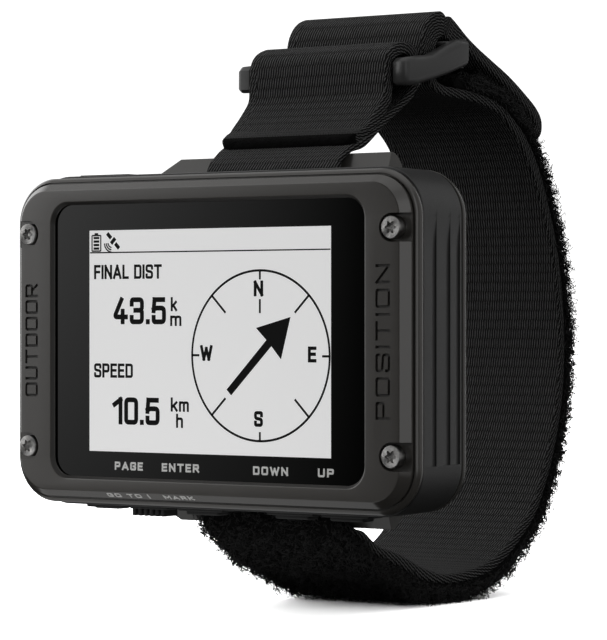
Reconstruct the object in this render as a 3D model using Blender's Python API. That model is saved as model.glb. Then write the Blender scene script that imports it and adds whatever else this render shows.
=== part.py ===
"""Wrist-worn GPS unit: a sealed case with a display, threaded on one length of hook-and-loop webbing.

Lengths are in metres. Parts are drawn in the case's own frame, X to the right, Y away from the reader and
Z up, with Y = 0 at the widest line of the bezel and Z = 0 at the middle of the case. The empty CaseFrame
is then moved so that the origin is at the bottom centre of the whole object.
"""

import math

import bmesh
import bpy
from mathutils import Matrix, Vector

MM = 0.001

# Driving dimensions: the case.
CASE_HALF_WIDTH = 37.2 * MM
FACE_DEPTH = -2.5 * MM
HOUSING_FRONT = 2.4 * MM
HOUSING_BACK = 16.0 * MM
CHANNEL_FLOOR = 14.0 * MM
CHANNEL_HALF_WIDTH = 13.5 * MM
SIDE_TAPER = 2.0 * MM
FIT = 0.3 * MM

# Driving dimensions: the display, the screws and the keys.
LENS_HALF = (29.3 * MM, 21.6 * MM)
LENS_FRONT = -1.6 * MM
LENS_BACK = -0.4 * MM
SCREW_AT = (33.55 * MM, 16.2 * MM)
SCREW_HEAD_RADIUS = 1.6 * MM
SCREW_SEAT = -1.05 * MM
SCREW_SHANK_RADIUS = 0.8 * MM
NOTCH_HALF_WIDTH = 2.05 * MM
KEY_DEPTH = 5.0 * MM
KEY_HALF_DEPTH = 1.9 * MM

# Driving dimensions: the cells, the door and the socket.
CELL_RADIUS = 5.25 * MM
CELL_LENGTH = 44.5 * MM
CELL_DEPTH = 7.8 * MM
CELL_HEIGHT = 6.2 * MM
DOOR_AXIS = (-34.9 * MM, 14.1 * MM)
SOCKET_X = -23.5 * MM

# Driving dimensions: the strap and its ring.
STRAP_HALF_WIDTH = 13.1 * MM
RAIL_INNER = 13.5 * MM
RAIL_OUTER = 15.1 * MM
RAIL_SPLAY = 1.0 * MM
RAIL_ENDS = (27.5 * MM, 47.0 * MM)
RING_AXIS = (31.0 * MM, 40.8 * MM)
TAIL_AXIS = (49.35 * MM, 47.95 * MM)

CORNER_STEPS = 7
ROUND_STEPS = 20
SMOOTH_ANGLE = math.radians(35)


# ---------------------------------------------------------------- helpers


def clear_scene():
    for old in list(bpy.data.objects):
        bpy.data.objects.remove(old, do_unlink=True)


def material(name, colour, roughness, metallic=0.0):
    made = bpy.data.materials.new(name)
    made.use_nodes = True
    shader = made.node_tree.nodes["Principled BSDF"]
    shader.inputs["Base Color"].default_value = (*colour, 1.0)
    shader.inputs["Roughness"].default_value = roughness
    shader.inputs["Metallic"].default_value = metallic
    made.diffuse_color = (*colour, 1.0)
    return made


def finish(name, work, finish_material, pivot=(0.0, 0.0, 0.0)):
    """Turns a bmesh drawn in the case frame into an object whose origin is at the pivot."""
    bmesh.ops.recalc_face_normals(work, faces=work.faces)
    bmesh.ops.translate(work, verts=work.verts, vec=-Vector(pivot))
    mesh = bpy.data.meshes.new(name)
    work.to_mesh(mesh)
    work.free()
    mesh.shade_smooth()
    mesh.set_sharp_from_angle(angle=SMOOTH_ANGLE)
    made = bpy.data.objects.new(name, mesh)
    bpy.context.scene.collection.objects.link(made)
    made.parent = case_frame
    made.location = pivot
    if finish_material:
        mesh.materials.append(finish_material)
    return made


def rounded_rectangle(half_x, half_z, radius):
    """Points of an upright rounded rectangle, anticlockwise as seen from the front."""
    points = []
    for corner, (side_x, side_z) in enumerate(((1, 1), (-1, 1), (-1, -1), (1, -1))):
        for step in range(CORNER_STEPS + 1):
            angle = (corner + step / CORNER_STEPS) * math.pi / 2
            x = side_x * (half_x - radius) + radius * math.cos(angle)
            z = side_z * (half_z - radius) + radius * math.sin(angle)
            points.append((x, z))
    return points


def add_rings(work, rings, closed):
    """Joins rings of equal length into a skin, closed on itself or capped at both ends."""
    rows = [[work.verts.new(point) for point in ring] for ring in rings]
    pairs = list(zip(rows, rows[1:]))
    if closed:
        pairs.append((rows[-1], rows[0]))
    for first, second in pairs:
        for index in range(len(first)):
            after = (index + 1) % len(first)
            work.faces.new((first[index], first[after], second[after], second[index]))
    if not closed:
        work.faces.new(rows[0])
        work.faces.new(rows[-1])


def shell_of(sections, closed=False):
    """A bmesh lofted through sections (half width, half height, corner radius, depth), in millimetres."""
    work = bmesh.new()
    rings = []
    for half_x, half_z, radius, depth in sections:
        outline = rounded_rectangle(half_x * MM, half_z * MM, radius * MM)
        rings.append([(x, depth * MM, z) for x, z in outline])
    add_rings(work, rings, closed)
    return work


def block_of(low, high):
    """A box between two corners given in millimetres."""
    work = bmesh.new()
    bmesh.ops.create_cube(work, size=1.0)
    size = [(b - a) * MM for a, b in zip(low, high)]
    middle = [(a + b) / 2 * MM for a, b in zip(low, high)]
    bmesh.ops.scale(work, verts=work.verts, vec=size)
    bmesh.ops.translate(work, verts=work.verts, vec=middle)
    return work


def turned_of(axis, centre, profile, steps=ROUND_STEPS):
    """A turned solid about an axis; the profile lists (place along the axis, radius) from end to end."""
    work = bmesh.new()
    index = "XYZ".index(axis)
    rings = []
    for along, radius in profile:
        ring = []
        for step in range(steps):
            angle = 2 * math.pi * step / steps
            across = [radius * math.cos(angle), radius * math.sin(angle)]
            point = [c + a for c, a in zip(centre, across)]
            point.insert(index, along)
            ring.append(point)
        rings.append(ring)
    add_rings(work, rings, closed=False)
    return work


def cutter(name, work):
    made = finish(name, work, None)
    made.hide_render = True
    made.display_type = "WIRE"
    return made


def combine(target, other, operation):
    step = target.modifiers.new(f"{operation.lower()} {other.name}", "BOOLEAN")
    step.operation = operation
    step.object = other
    step.solver = "EXACT"


def cut(target, name, work):
    combine(target, cutter(name, work), "DIFFERENCE")


def join(target, name, work):
    combine(target, cutter(name, work), "UNION")


def side_x(depth):
    """Half width of the tapered housing at a depth."""
    share = (depth - HOUSING_FRONT) / (HOUSING_BACK - HOUSING_FRONT)
    return CASE_HALF_WIDTH - 1.0 * MM - SIDE_TAPER * share


# ---------------------------------------------------------------- case


def screw_places():
    names = {(-1, 1): "top_left", (1, 1): "top_right", (-1, -1): "bottom_left", (1, -1): "bottom_right"}
    for (side, level), name in names.items():
        yield name, side * SCREW_AT[0], level * SCREW_AT[1]


def notch_cutter(side, z):
    """A slot that is round at its inner end and open at the case's side."""
    work = bmesh.new()
    centre_x = 33.8 * MM
    outline = []
    for step in range(ROUND_STEPS // 2 + 1):
        angle = math.pi / 2 + math.pi * step / (ROUND_STEPS // 2)
        outline.append((centre_x + NOTCH_HALF_WIDTH * math.cos(angle), NOTCH_HALF_WIDTH * math.sin(angle)))
    outline.append((36.3 * MM, -NOTCH_HALF_WIDTH))
    outline.append((36.3 * MM, NOTCH_HALF_WIDTH))
    rings = [[(side * x, y, z + dz) for x, dz in outline] for y in (-4 * MM, SCREW_SEAT)]
    add_rings(work, rings, closed=False)
    return work


def front_bezel():
    """The front cover: a face, a chamfer, a fine groove and a rounded outer band, round the display opening."""
    made = finish(
        "front_bezel",
        shell_of(
            [
                (36.9, 24.45, 6.7, 1.9),
                (37.2, 24.75, 7.0, 1.2),
                (37.2, 24.75, 7.0, 0.2),
                (36.95, 24.5, 6.75, -0.55),
                (36.5, 24.05, 6.3, -0.9),
                (36.45, 24.0, 6.25, -0.45),
                (36.2, 23.75, 6.0, -0.45),
                (36.15, 23.7, 5.95, -1.15),
                (34.9, 22.7, 4.9, -2.5),
                (29.1, 21.45, 3.3, -2.5),
                (28.65, 21.0, 3.0, -1.9),
                (29.6, 21.9, 3.3, -1.9),
                (29.6, 21.9, 3.3, 1.9),
            ],
            closed=True,
        ),
        WARM_GREY,
    )
    for name, x, z in screw_places():
        cut(made, f"notch_{name}", notch_cutter(math.copysign(1, x), z))
        hole = turned_of("Y", (x, z), [(-3 * MM, 1.1 * MM), (3 * MM, 1.1 * MM)], 12)
        cut(made, f"bezel_hole_{name}", hole)


def screws():
    for name, x, z in screw_places():
        profile = [
            (-2.2 * MM, 1.3 * MM),
            (-2.0 * MM, 1.55 * MM),
            (-1.8 * MM, SCREW_HEAD_RADIUS),
            (SCREW_SEAT - 0.05 * MM, SCREW_HEAD_RADIUS),
            (SCREW_SEAT - 0.05 * MM, SCREW_SHANK_RADIUS),
            (7.8 * MM, SCREW_SHANK_RADIUS),
            (8.2 * MM, 0.5 * MM),
        ]
        made = finish(f"screw_{name}", turned_of("Y", (x, z), profile, 16), STEEL)
        socket = turned_of("Y", (x, z), [(-3 * MM, 0.75 * MM), (-1.5 * MM, 0.75 * MM)], 6)
        cut(made, f"drive_{name}", socket)


def display():
    half_x, half_z = (value / MM for value in LENS_HALF)
    front = LENS_FRONT / MM
    back = LENS_BACK / MM
    sections = [
        (half_x - 0.15, half_z - 0.15, 2.9, front),
        (half_x, half_z, 3.0, front + 0.15),
        (half_x, half_z, 3.0, back),
    ]
    finish("display_lens", shell_of(sections), GLOSS_BLACK)
    frame = [
        (29.2, 21.5, 3.0, -0.15),
        (29.2, 21.5, 3.0, 0.15),
        (25.0, 19.0, 2.0, 0.15),
        (25.0, 19.0, 2.0, -0.15),
    ]
    finish("lens_gasket", shell_of(frame, closed=True), RUBBER)
    finish("lcd_module", shell_of([(27.0, 20.2, 1.0, 0.4), (27.0, 20.2, 1.0, 1.5)]), SCREEN_GREY)


def bezel_gasket():
    """The seal ring in the groove of the housing's front rim."""
    ring = [(35.0, 24.1, 5.8, 2.2), (35.0, 24.1, 5.8, 3.0), (34.3, 23.4, 5.1, 3.0), (34.3, 23.4, 5.1, 2.2)]
    made = finish("bezel_gasket", shell_of(ring, closed=True), RUBBER)
    for name, x, z in screw_places():
        cut(made, f"gasket_relief_{name}", turned_of("Y", (x, z), [(1 * MM, 1.2 * MM), (5 * MM, 1.2 * MM)], 12))


def housing_outline():
    """The outer shape of the rear housing, shared by the housing and by the door cut out of its side."""
    return shell_of([(36.2, 25.35, 7.0, 2.4), (34.2, 25.35, 7.0, 16.0)])


def louvre_cutters(target):
    """Three sawtooth grooves on each side: each one deepens to the rear and ends in a step."""
    edges = [2.95 * MM, 7.35 * MM, 11.75 * MM, 15.6 * MM]
    for side in (-1, 1):
        for index, (start, end) in enumerate(zip(edges, edges[1:])):
            end -= 0.45 * MM
            work = bmesh.new()
            outline = [
                (side_x(start) + 0.02 * MM, start),
                (side_x(start) + 3 * MM, start),
                (side_x(end) + 3 * MM, end),
                (side_x(end) - 0.7 * MM, end),
            ]
            rings = [[(side * x, y, z) for x, y in outline] for z in (-17.8 * MM, 17.8 * MM)]
            add_rings(work, rings, closed=False)
            cut(target, f"{target.name}_louvre_{'left' if side < 0 else 'right'}_{index}", work)


def key_aperture(centre_x, half_width):
    low = (centre_x / MM - half_width / MM - 0.3, KEY_DEPTH / MM - KEY_HALF_DEPTH / MM - 0.3, -27)
    high = (centre_x / MM + half_width / MM + 0.3, KEY_DEPTH / MM + KEY_HALF_DEPTH / MM + 0.3, -21)
    return block_of(low, high)


def rear_housing():
    """The deep tub behind the bezel, open at the front, with the strap channel across its back."""
    made = finish("rear_housing", housing_outline(), NEUTRAL_BLACK)
    cavity = cutter("cavity", shell_of([(33.8, 22.8, 5.0, 1.0), (32.4, 22.8, 5.0, 13.3)]))
    for name, x, z in screw_places():
        post = turned_of("Y", (x, z), [(-1 * MM, 2.4 * MM), (15 * MM, 2.4 * MM)], 16)
        cut(cavity, f"post_{name}", post)
    combine(made, cavity, "DIFFERENCE")
    groove = [(35.3, 24.4, 6.1, 1.4), (35.3, 24.4, 6.1, 3.3), (34.0, 23.1, 4.8, 3.3), (34.0, 23.1, 4.8, 1.4)]
    cut(made, "gasket_groove", shell_of(groove, closed=True))
    channel_x = CHANNEL_HALF_WIDTH / MM
    cut(made, "strap_channel", block_of((-channel_x, CHANNEL_FLOOR / MM, -30), (channel_x, 20, 30)))
    for name, x, z in screw_places():
        cut(made, f"bore_{name}", turned_of("Y", (x, z), [(1 * MM, 1.1 * MM), (9 * MM, 1.1 * MM)], 12))
    for key in KEYS:
        cut(made, f"aperture_{key[0]}", key_aperture(key[1], key[2]))
    cut(made, "door_opening", block_of((-40, 3.6, -13.1), (-32, 12.8, 13.1)))
    socket_x = SOCKET_X / MM
    cut(made, "cap_recess", block_of((socket_x - 5.0, 3.3, 23.95), (socket_x + 5.0, 10.7, 27)))
    cut(made, "socket_opening", block_of((socket_x - 4.2, 4.1, 20), (socket_x + 4.2, 7.7, 25)))
    louvre_cutters(made)
    centre = DOOR_AXIS
    cut(made, "knuckle_pocket", turned_of("Z", centre, [(-5.4 * MM, 1.8 * MM), (5.4 * MM, 1.8 * MM)]))
    for level in (-1, 1):
        ends = sorted((level * 5.4 * MM, level * 8.6 * MM))
        eye = turned_of("Z", centre, [(end, 1.3 * MM) for end in ends], 16)
        join(made, f"housing_knuckle_{'lower' if level < 0 else 'upper'}", eye)
    cut(made, "pin_bore", turned_of("Z", centre, [(-9.4 * MM, 0.8 * MM), (9.4 * MM, 0.8 * MM)], 12))


# A lug's outline in (Y, Z): an upright front that leans back to a narrow tip, and a rounded rear.
LUG = (
    (16.3, 21.0),
    (16.3, 25.35),
    (18.0, 28.1),
    (18.5, 28.1),
    (19.4, 27.6),
    (20.1, 26.6),
    (20.4, 25.35),
    (20.4, 21.0),
)
LUG_TIP = 28.1
LUG_TIP_HALF_WIDTH = 19.8
LUG_FLARE = 0.2


def lug_of(level):
    """A strap lug, a little narrower at its tip than at its foot."""
    work = bmesh.new()
    rings = []
    for side in (-1, 1):
        ring = []
        for y, z in LUG:
            half_x = LUG_TIP_HALF_WIDTH + LUG_FLARE * (LUG_TIP - z)
            ring.append((side * half_x * MM, y * MM, level * z * MM))
        rings.append(ring)
    add_rings(work, rings, closed=False)
    return work


def rear_frame():
    """The back plate with a lug above and below; the strap runs between it and the housing."""
    sections = [(34.15, 25.3, 6.9, 16.3), (33.7, 24.95, 6.6, 18.4), (32.2, 23.4, 5.2, 20.5)]
    made = finish("rear_frame", shell_of(sections), WARM_GREY)
    for level, name in ((1, "upper"), (-1, "lower")):
        join(made, f"lug_{name}", lug_of(level))


# ---------------------------------------------------------------- keys

# Each key: name, place across the case, half width, tip height, number of teeth.
KEYS = (
    ("power", -23.0 * MM, 3.6 * MM, -25.75 * MM, 0),
    ("page", -14.5 * MM, 3.6 * MM, -26.35 * MM, 6),
    ("enter", -4.7 * MM, 4.2 * MM, -26.1 * MM, 0),
    ("down", 11.85 * MM, 4.2 * MM, -26.1 * MM, 0),
    ("up", 21.7 * MM, 4.2 * MM, -26.1 * MM, 0),
)


def key_of(centre_x, half_width, tip, teeth):
    """A key cap with a stepped crown or a row of teeth below, and a retaining flange inside."""
    x = centre_x / MM
    half = half_width / MM
    depth = KEY_DEPTH / MM
    span = KEY_HALF_DEPTH / MM
    foot = tip / MM
    work = block_of((x - half - 0.6, depth - span - 0.2, -22.5), (x + half + 0.6, depth + span + 0.4, -21.9))
    made = finish("key_part", work, RUBBER)
    join(made, "key_shank", block_of((x - half, depth - span, -25.5), (x + half, depth + span, -22.3)))
    if teeth:
        pitch = 2 * (half - 0.3) / teeth
        for index in range(teeth):
            start = x - half + 0.3 + index * pitch
            low = (start, depth - span + 0.2, foot)
            high = (start + 0.6 * pitch, depth + span - 0.2, -25.2)
            join(made, f"key_tooth_{index}", block_of(low, high))
    else:
        low = (x - half + 1.2, depth - span + 0.5, foot)
        high = (x + half - 1.2, depth + span - 0.5, -25.2)
        join(made, "key_crown", block_of(low, high))
    return made


def keys():
    for name, centre_x, half_width, tip, teeth in KEYS:
        made = key_of(centre_x, half_width, tip, teeth)
        pivot = Vector((centre_x, KEY_DEPTH, tip))
        made.data.transform(Matrix.Translation(-pivot))
        made.location = pivot
        made.name = f"{name}_key"
        switch = block_of(
            (centre_x / MM - 2.0, 3.2, -20.2),
            (centre_x / MM + 2.0, 6.8, -18.4),
        )
        finish(f"{name}_switch", switch, STEEL)
    finish("keypad_seal", block_of((-28.5, 2.9, -21.0), (28.0, 7.4, -20.5)), RUBBER)


# ---------------------------------------------------------------- electronics and power


def electronics():
    finish("main_pcb", block_of((-28.8, 1.75, -20.3), (28.8, 2.25, 20.3)), BOARD_GREEN)
    finish("shield_can", block_of((8.0, 2.6, 13.4), (24.0, 4.4, 19.6)), STEEL)
    finish("satellite_antenna", block_of((-14.0, 2.6, 13.4), (2.0, 6.6, 21.4)), CERAMIC)
    disc = turned_of("Y", (27.5 * MM, -8.0 * MM), [(2.6 * MM, 4 * MM), (5.2 * MM, 4 * MM)])
    finish("sounder", disc, NEUTRAL_BLACK)
    x = SOCKET_X / MM
    made = finish("usb_socket", block_of((x - 3.9, 4.1, 13.6), (x + 3.9, 7.7, 22.5)), STEEL)
    cut(made, "usb_mouth", block_of((x - 3.4, 4.6, 16), (x + 3.4, 7.2, 24)))


def battery_tray():
    """A comb of three ribs on an end wall, with a flange that carries the door's seal."""
    made = finish("battery_tray", block_of((-32.1, 3.2, -12.7), (21.5, 12.9, 12.7)), NEUTRAL_BLACK)
    for level in (-1, 1):
        profile = [(-34 * MM, 5.6 * MM), (20.0 * MM, 5.6 * MM)]
        cut(made, f"cell_bore_{level}", turned_of("X", (CELL_DEPTH, level * CELL_HEIGHT), profile, 28))


def cell_profile(start):
    """From the flat negative end to the small positive button."""
    body = start + CELL_LENGTH - 1.0 * MM
    return [(start, CELL_RADIUS), (body, CELL_RADIUS), (body, 1.9 * MM), (start + CELL_LENGTH, 1.9 * MM)]


def cells():
    start = -30.2 * MM
    for level, name in ((1, "upper"), (-1, "lower")):
        work = turned_of("X", (CELL_DEPTH, level * CELL_HEIGHT), cell_profile(start), 24)
        finish(f"battery_{name}", work, CELL_BLUE)
        spring = turned_of(
            "X",
            (CELL_DEPTH, level * CELL_HEIGHT),
            [(14.7 * MM, 1.6 * MM), (19.0 * MM, 3.2 * MM), (19.7 * MM, 3.2 * MM)],
            16,
        )
        finish(f"battery_contact_{name}", spring, STEEL)


def battery_door():
    """A hinged cover cut from the housing's own left side, with its seal, contact bridge and turn latch."""
    pivot = (DOOR_AXIS[0], DOOR_AXIS[1], 0.0)
    made = finish("battery_door", block_of((-40, 3.9, -12.8), (-34.3, 12.5, 12.8)), NEUTRAL_BLACK, pivot)
    combine(made, cutter("door_skin", housing_outline()), "INTERSECT")
    louvre_cutters(made)
    pad = turned_of("X", (7.8 * MM, 0.0), [(-35.9 * MM, 3.6 * MM), (-34.4 * MM, 3.6 * MM)])
    join(made, "latch_pad", pad)
    join(made, "door_arm", block_of((-35.9, 11.9, -4.8), (-34.3, 14.1, 4.8)))
    join(made, "door_knuckle", turned_of("Z", DOOR_AXIS, [(-5.0 * MM, 1.3 * MM), (5.0 * MM, 1.3 * MM)], 16))
    cut(made, "door_pin_bore", turned_of("Z", DOOR_AXIS, [(-6 * MM, 0.8 * MM), (6 * MM, 0.8 * MM)], 12))
    cut(made, "latch_bore", turned_of("X", (7.8 * MM, 0.0), [(-38 * MM, 1.3 * MM), (-33 * MM, 1.3 * MM)], 12))
    pin = turned_of("Z", DOOR_AXIS, [(-8.4 * MM, 0.5 * MM), (8.4 * MM, 0.5 * MM)], 12)
    finish("door_hinge_pin", pin, STEEL)
    seal = finish("door_seal", block_of((-34.0, 4.2, -12.4), (-33.2, 12.1, 12.4)), RUBBER, pivot)
    cut(seal, "seal_window", block_of((-36, 5.1, -11.4), (-30, 11.2, 11.4)))
    bridge = finish("contact_bridge", block_of((-34.0, 5.6, -8.4), (-33.5, 10.0, 8.4)), STEEL, pivot)
    for level in (-1, 1):
        profile = [(-33.8 * MM, 2 * MM), (-30.6 * MM, 0.8 * MM)]
        bump = turned_of("X", (CELL_DEPTH, level * CELL_HEIGHT), profile, 12)
        join(bridge, f"bump_{level}", bump)


def door_latch():
    """A quarter-turn knob with a coin slot; its stem turns in the door."""
    profile = [(-37.0 * MM, 2.8 * MM), (-36.8 * MM, 3.1 * MM), (-36.2 * MM, 3.1 * MM)]
    profile += [(-36.2 * MM, 1.0 * MM), (-34.5 * MM, 1.0 * MM)]
    pivot = (-36.2 * MM, 7.8 * MM, 0.0)
    made = finish("door_latch", turned_of("X", (7.8 * MM, 0.0), profile), NEUTRAL_BLACK, pivot)
    cut(made, "coin_slot", block_of((-38, 7.45, -4), (-36.55, 8.15, 4)))


def usb_cap():
    """A flush rubber flap with a plug under it; its rear edge is the hinge."""
    x = SOCKET_X / MM
    pivot = (SOCKET_X, 9.9 * MM, 24.8 * MM)
    made = finish("usb_cap", block_of((x - 4.7, 3.6, 24.25), (x + 4.7, 10.2, 25.3)), RUBBER, pivot)
    join(made, "cap_plug", block_of((x - 3.8, 4.5, 23.2), (x + 3.8, 7.3, 24.6)))


# ---------------------------------------------------------------- strap

# The middle line of the webbing, from the sewn flap round the ring, through the case, round the wrist and
# back through the ring: (Y, Z, webbing thickness, loop facing thickness), in millimetres.
WEBBING = (
    (22.3, 32.35, 1.5, 0),
    (24.6, 34.55, 2.0, 0),
    (26.9, 36.9, 2.0, 0),
    (27.45, 40.0, 1.9, 0),
    (28.0, 43.1, 1.9, 0),
    (30.3, 44.6, 1.9, 0),
    (33.0, 44.75, 1.9, 0),
    (35.1, 43.3, 1.7, 0),
    (35.5, 40.5, 1.5, 0),
    (33.9, 38.1, 1.35, 0),
    (30.9, 36.05, 1.2, 0),
    (28.2, 34.3, 1.2, 0),
    (25.5, 32.45, 1.3, 0),
    (22.8, 30.9, 1.3, 0),
    (20.6, 29.85, 1.2, 0),
    (18.7, 29.25, 1.1, 0),
    (16.9, 28.25, 1.1, 0),
    (15.8, 26.6, 1.3, 0),
    (15.25, 24.8, 1.4, 0),
    (15.25, 12.0, 1.4, 0),
    (15.25, 0.0, 1.4, 0),
    (15.25, -12.0, 1.4, 0),
    (15.25, -24.8, 1.4, 0),
    (15.6, -27.0, 1.3, 1.6),
    (17.0, -28.7, 1.2, 1.8),
    (19.2, -29.6, 1.2, 2.0),
    (22.6, -30.95, 1.4, 2.2),
    (26.0, -32.15, 1.5, 2.4),
    (30.6, -34.1, 1.5, 2.4),
    (36.2, -36.1, 1.5, 2.7),
    (42.0, -37.3, 1.5, 2.75),
    (46.5, -37.5, 1.5, 2.75),
    (51.0, -37.2, 1.5, 2.5),
    (56.8, -36.2, 1.5, 2.0),
    (61.6, -34.1, 1.5, 1.6),
    (65.6, -31.4, 1.5, 1.5),
    (69.7, -27.9, 1.5, 1.4),
    (73.3, -22.2, 1.5, 1.4),
    (76.1, -15.8, 1.5, 1.4),
    (77.85, -9.0, 1.5, 1.4),
    (78.45, -1.5, 1.5, 1.4),
    (77.85, 6.5, 1.5, 1.4),
    (76.5, 14.2, 1.5, 1.4),
    (74.0, 21.8, 1.5, 1.4),
    (71.9, 26.5, 1.5, 1.4),
    (69.3, 30.6, 1.5, 1.5),
    (66.2, 33.5, 1.5, 1.8),
    (63.0, 35.2, 1.5, 2.0),
    (59.9, 36.6, 1.5, 2.0),
    (56.0, 37.75, 1.5, 2.0),
    (51.0, 38.5, 1.5, 1.8),
    (45.5, 38.8, 1.5, 1.2),
    (42.4, 39.05, 1.5, 0),
    (39.8, 40.2, 1.6, 0),
    (38.2, 42.8, 1.9, 0),
    (37.6, 45.8, 2.2, 0),
    (38.5, 48.4, 2.3, 0),
    (40.7, 49.8, 2.3, 0),
    (43.2, 50.1, 2.2, 0),
    (46.3, 48.8, 2.0, 0),
    (48.75, 47.2, 1.9, 0),
)

# The free end beyond the ring.
TAIL = (
    (49.2, 46.95, 1.9),
    (52.9, 45.15, 1.9),
    (56.4, 43.7, 1.9),
    (62.25, 41.2, 1.9),
    (67.6, 38.3, 1.9),
    (70.6, 36.1, 1.9),
    (71.5, 34.9, 1.9),
    (71.0, 33.6, 1.8),
)
# The facing's first and last rows in WEBBING.
FACING_START = 23
FACING_END = 51
SPLINE_STEPS = 3


def spline(points):
    """A Catmull-Rom curve through the points; every value of a point is carried along."""
    ends = [points[0], *points, points[-1]]
    curve = []
    for index in range(len(points) - 1):
        before, start, end, after = ends[index : index + 4]
        for step in range(SPLINE_STEPS):
            t = step / SPLINE_STEPS
            row = []
            for a, b, c, d in zip(before, start, end, after):
                slope = (c - a) * t + (2 * a - 5 * b + 4 * c - d) * t * t + (3 * b - a - 3 * c + d) * t**3
                row.append(b + slope / 2)
            curve.append(row)
    curve.append(list(points[-1]))
    return curve


def side_of(curve, index):
    """The unit normal on the wearer's outer side at a point of a (Y, Z) curve."""
    before = curve[max(index - 1, 0)]
    after = curve[min(index + 1, len(curve) - 1)]
    along = Vector((after[0] - before[0], after[1] - before[1])).normalized()
    return Vector((along.y, -along.x))


def ribbon_of(curve, low, high, half_width=STRAP_HALF_WIDTH):
    """A band along a curve; low and high give the offset of its two surfaces at each row."""
    outer = []
    inner = []
    for index, row in enumerate(curve):
        place = Vector(row[:2])
        normal = side_of(curve, index)
        outer.append((place + normal * high(row)) * MM)
        inner.append((place + normal * low(row)) * MM)
    outline = [*outer, *reversed(inner)]
    work = bmesh.new()
    lower = [work.verts.new((-half_width, y, z)) for y, z in outline]
    upper = [work.verts.new((half_width, y, z)) for y, z in outline]
    count = len(curve)
    for index in range(len(outline)):
        after = (index + 1) % len(outline)
        work.faces.new((lower[index], lower[after], upper[after], upper[index]))
    for rows in (lower, upper):
        for index in range(count - 1):
            across = 2 * count - 1 - index
            work.faces.new((rows[index], rows[index + 1], rows[across - 1], rows[across]))
    return work


def strap():
    """The webbing, its loop facing, and the hook-backed tail that peels off."""
    curve = spline(WEBBING)
    work = ribbon_of(curve, lambda row: -row[2] / 2, lambda row: row[2] / 2)
    finish("strap_webbing", work, WEBBING_BLACK)
    faced = curve[FACING_START * SPLINE_STEPS : FACING_END * SPLINE_STEPS + 1]
    low = lambda row: row[2] / 2 + FIT / MM
    high = lambda row: row[2] / 2 + FIT / MM + row[3]
    facing = finish("strap_loop_facing", ribbon_of(faced, low, high), LOOP_BLACK)
    pivot = (0.0, TAIL_AXIS[0], TAIL_AXIS[1])
    free = spline(TAIL)
    work = ribbon_of(free, lambda row: -row[2] / 2, lambda row: row[2] / 2)
    finish("strap_tail", work, WEBBING_BLACK, pivot)
    hooked = free[2 * SPLINE_STEPS : 5 * SPLINE_STEPS]
    low = lambda row: row[2] / 2 + 0.2
    high = lambda row: row[2] / 2 + 0.7
    work = ribbon_of(hooked, low, high, STRAP_HALF_WIDTH - 1.5 * MM)
    finish("tail_hook_patch", work, LOOP_BLACK, pivot)
    return facing


def rail_of(outline, side):
    """A side rail with a (Y, Z) outline; it leans outwards towards the front."""
    front, rear = RAIL_ENDS
    work = bmesh.new()
    rings = []
    for reach in (RAIL_INNER, RAIL_OUTER):
        ring = []
        for y, z in outline:
            splay = RAIL_SPLAY * (rear - y) / (rear - front)
            ring.append((side * (reach + splay), y, z))
        rings.append(ring)
    add_rings(work, rings, closed=False)
    return work


def buckle_ring():
    """A rectangular loop: two bars, the rear one higher, joined by curved side rails."""
    pivot = (0.0, RING_AXIS[0], RING_AXIS[1])
    rail = [
        (27.6, 39.3),
        (28.2, 38.8),
        (31.0, 39.0),
        (36.0, 40.1),
        (41.7, 41.5),
        (46.4, 42.9),
        (47.0, 43.6),
        (47.0, 46.4),
        (46.4, 47.1),
        (43.7, 46.9),
        (36.0, 44.6),
        (30.4, 43.2),
        (28.0, 42.5),
        (27.5, 41.9),
    ]
    outline = [(y * MM, z * MM) for y, z in rail]
    made = finish("buckle_ring", rail_of(outline, -1), RING_BLACK, pivot)
    join(made, "right_rail", rail_of(outline, 1))
    join(made, "front_bar", block_of((-15.0, 28.9, 39.2), (15.0, 33.0, 42.4)))
    join(made, "rear_bar", block_of((-14.2, 41.6, 42.6), (14.2, 46.2, 46.5)))


def stand(lowest_piece):
    """Moves the case frame so that the object stands on Z = 0, with its depth centred on Y = 0."""
    depths = [vertex.co.y for vertex in lowest_piece.data.vertices]
    heights = [vertex.co.z for vertex in lowest_piece.data.vertices]
    case_frame.location = (0.0, -(FACE_DEPTH + max(depths)) / 2, -min(heights))


# ---------------------------------------------------------------- the object

clear_scene()
case_frame = bpy.data.objects.new("CaseFrame", None)
bpy.context.scene.collection.objects.link(case_frame)

WARM_GREY = material("warm grey moulding", (0.075, 0.070, 0.064), 0.5)
NEUTRAL_BLACK = material("black-grey moulding", (0.035, 0.035, 0.036), 0.55)
GLOSS_BLACK = material("lens black", (0.004, 0.004, 0.004), 0.08)
SCREEN_GREY = material("display grey", (0.7, 0.7, 0.7), 0.4)
RUBBER = material("seal rubber", (0.02, 0.02, 0.02), 0.7)
STEEL = material("stainless steel", (0.55, 0.55, 0.53), 0.3, 1.0)
BOARD_GREEN = material("board green", (0.02, 0.12, 0.05), 0.5)
CERAMIC = material("ceramic", (0.6, 0.55, 0.45), 0.5)
CELL_BLUE = material("cell sleeve", (0.05, 0.12, 0.4), 0.35)
WEBBING_BLACK = material("black webbing", (0.012, 0.012, 0.013), 0.9)
LOOP_BLACK = material("black loop pile", (0.008, 0.008, 0.008), 1.0)
RING_BLACK = material("ring black", (0.012, 0.012, 0.013), 0.35)

front_bezel()
screws()
display()
bezel_gasket()
rear_housing()
rear_frame()
keys()
electronics()
battery_tray()
cells()
battery_door()
door_latch()
usb_cap()
lowest_piece = strap()
buckle_ring()
stand(lowest_piece)
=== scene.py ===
"""The looks of a wrist-worn GPS unit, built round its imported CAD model.

Everything is in metres in the CAD's own frame. Sizes that are easier to read in millimetres are written so
and placed with at(), which takes the case's frame: X to the right, Y away from the reader from the bezel's
widest line, Z up from the middle of the case.
"""

import math
import random

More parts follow.
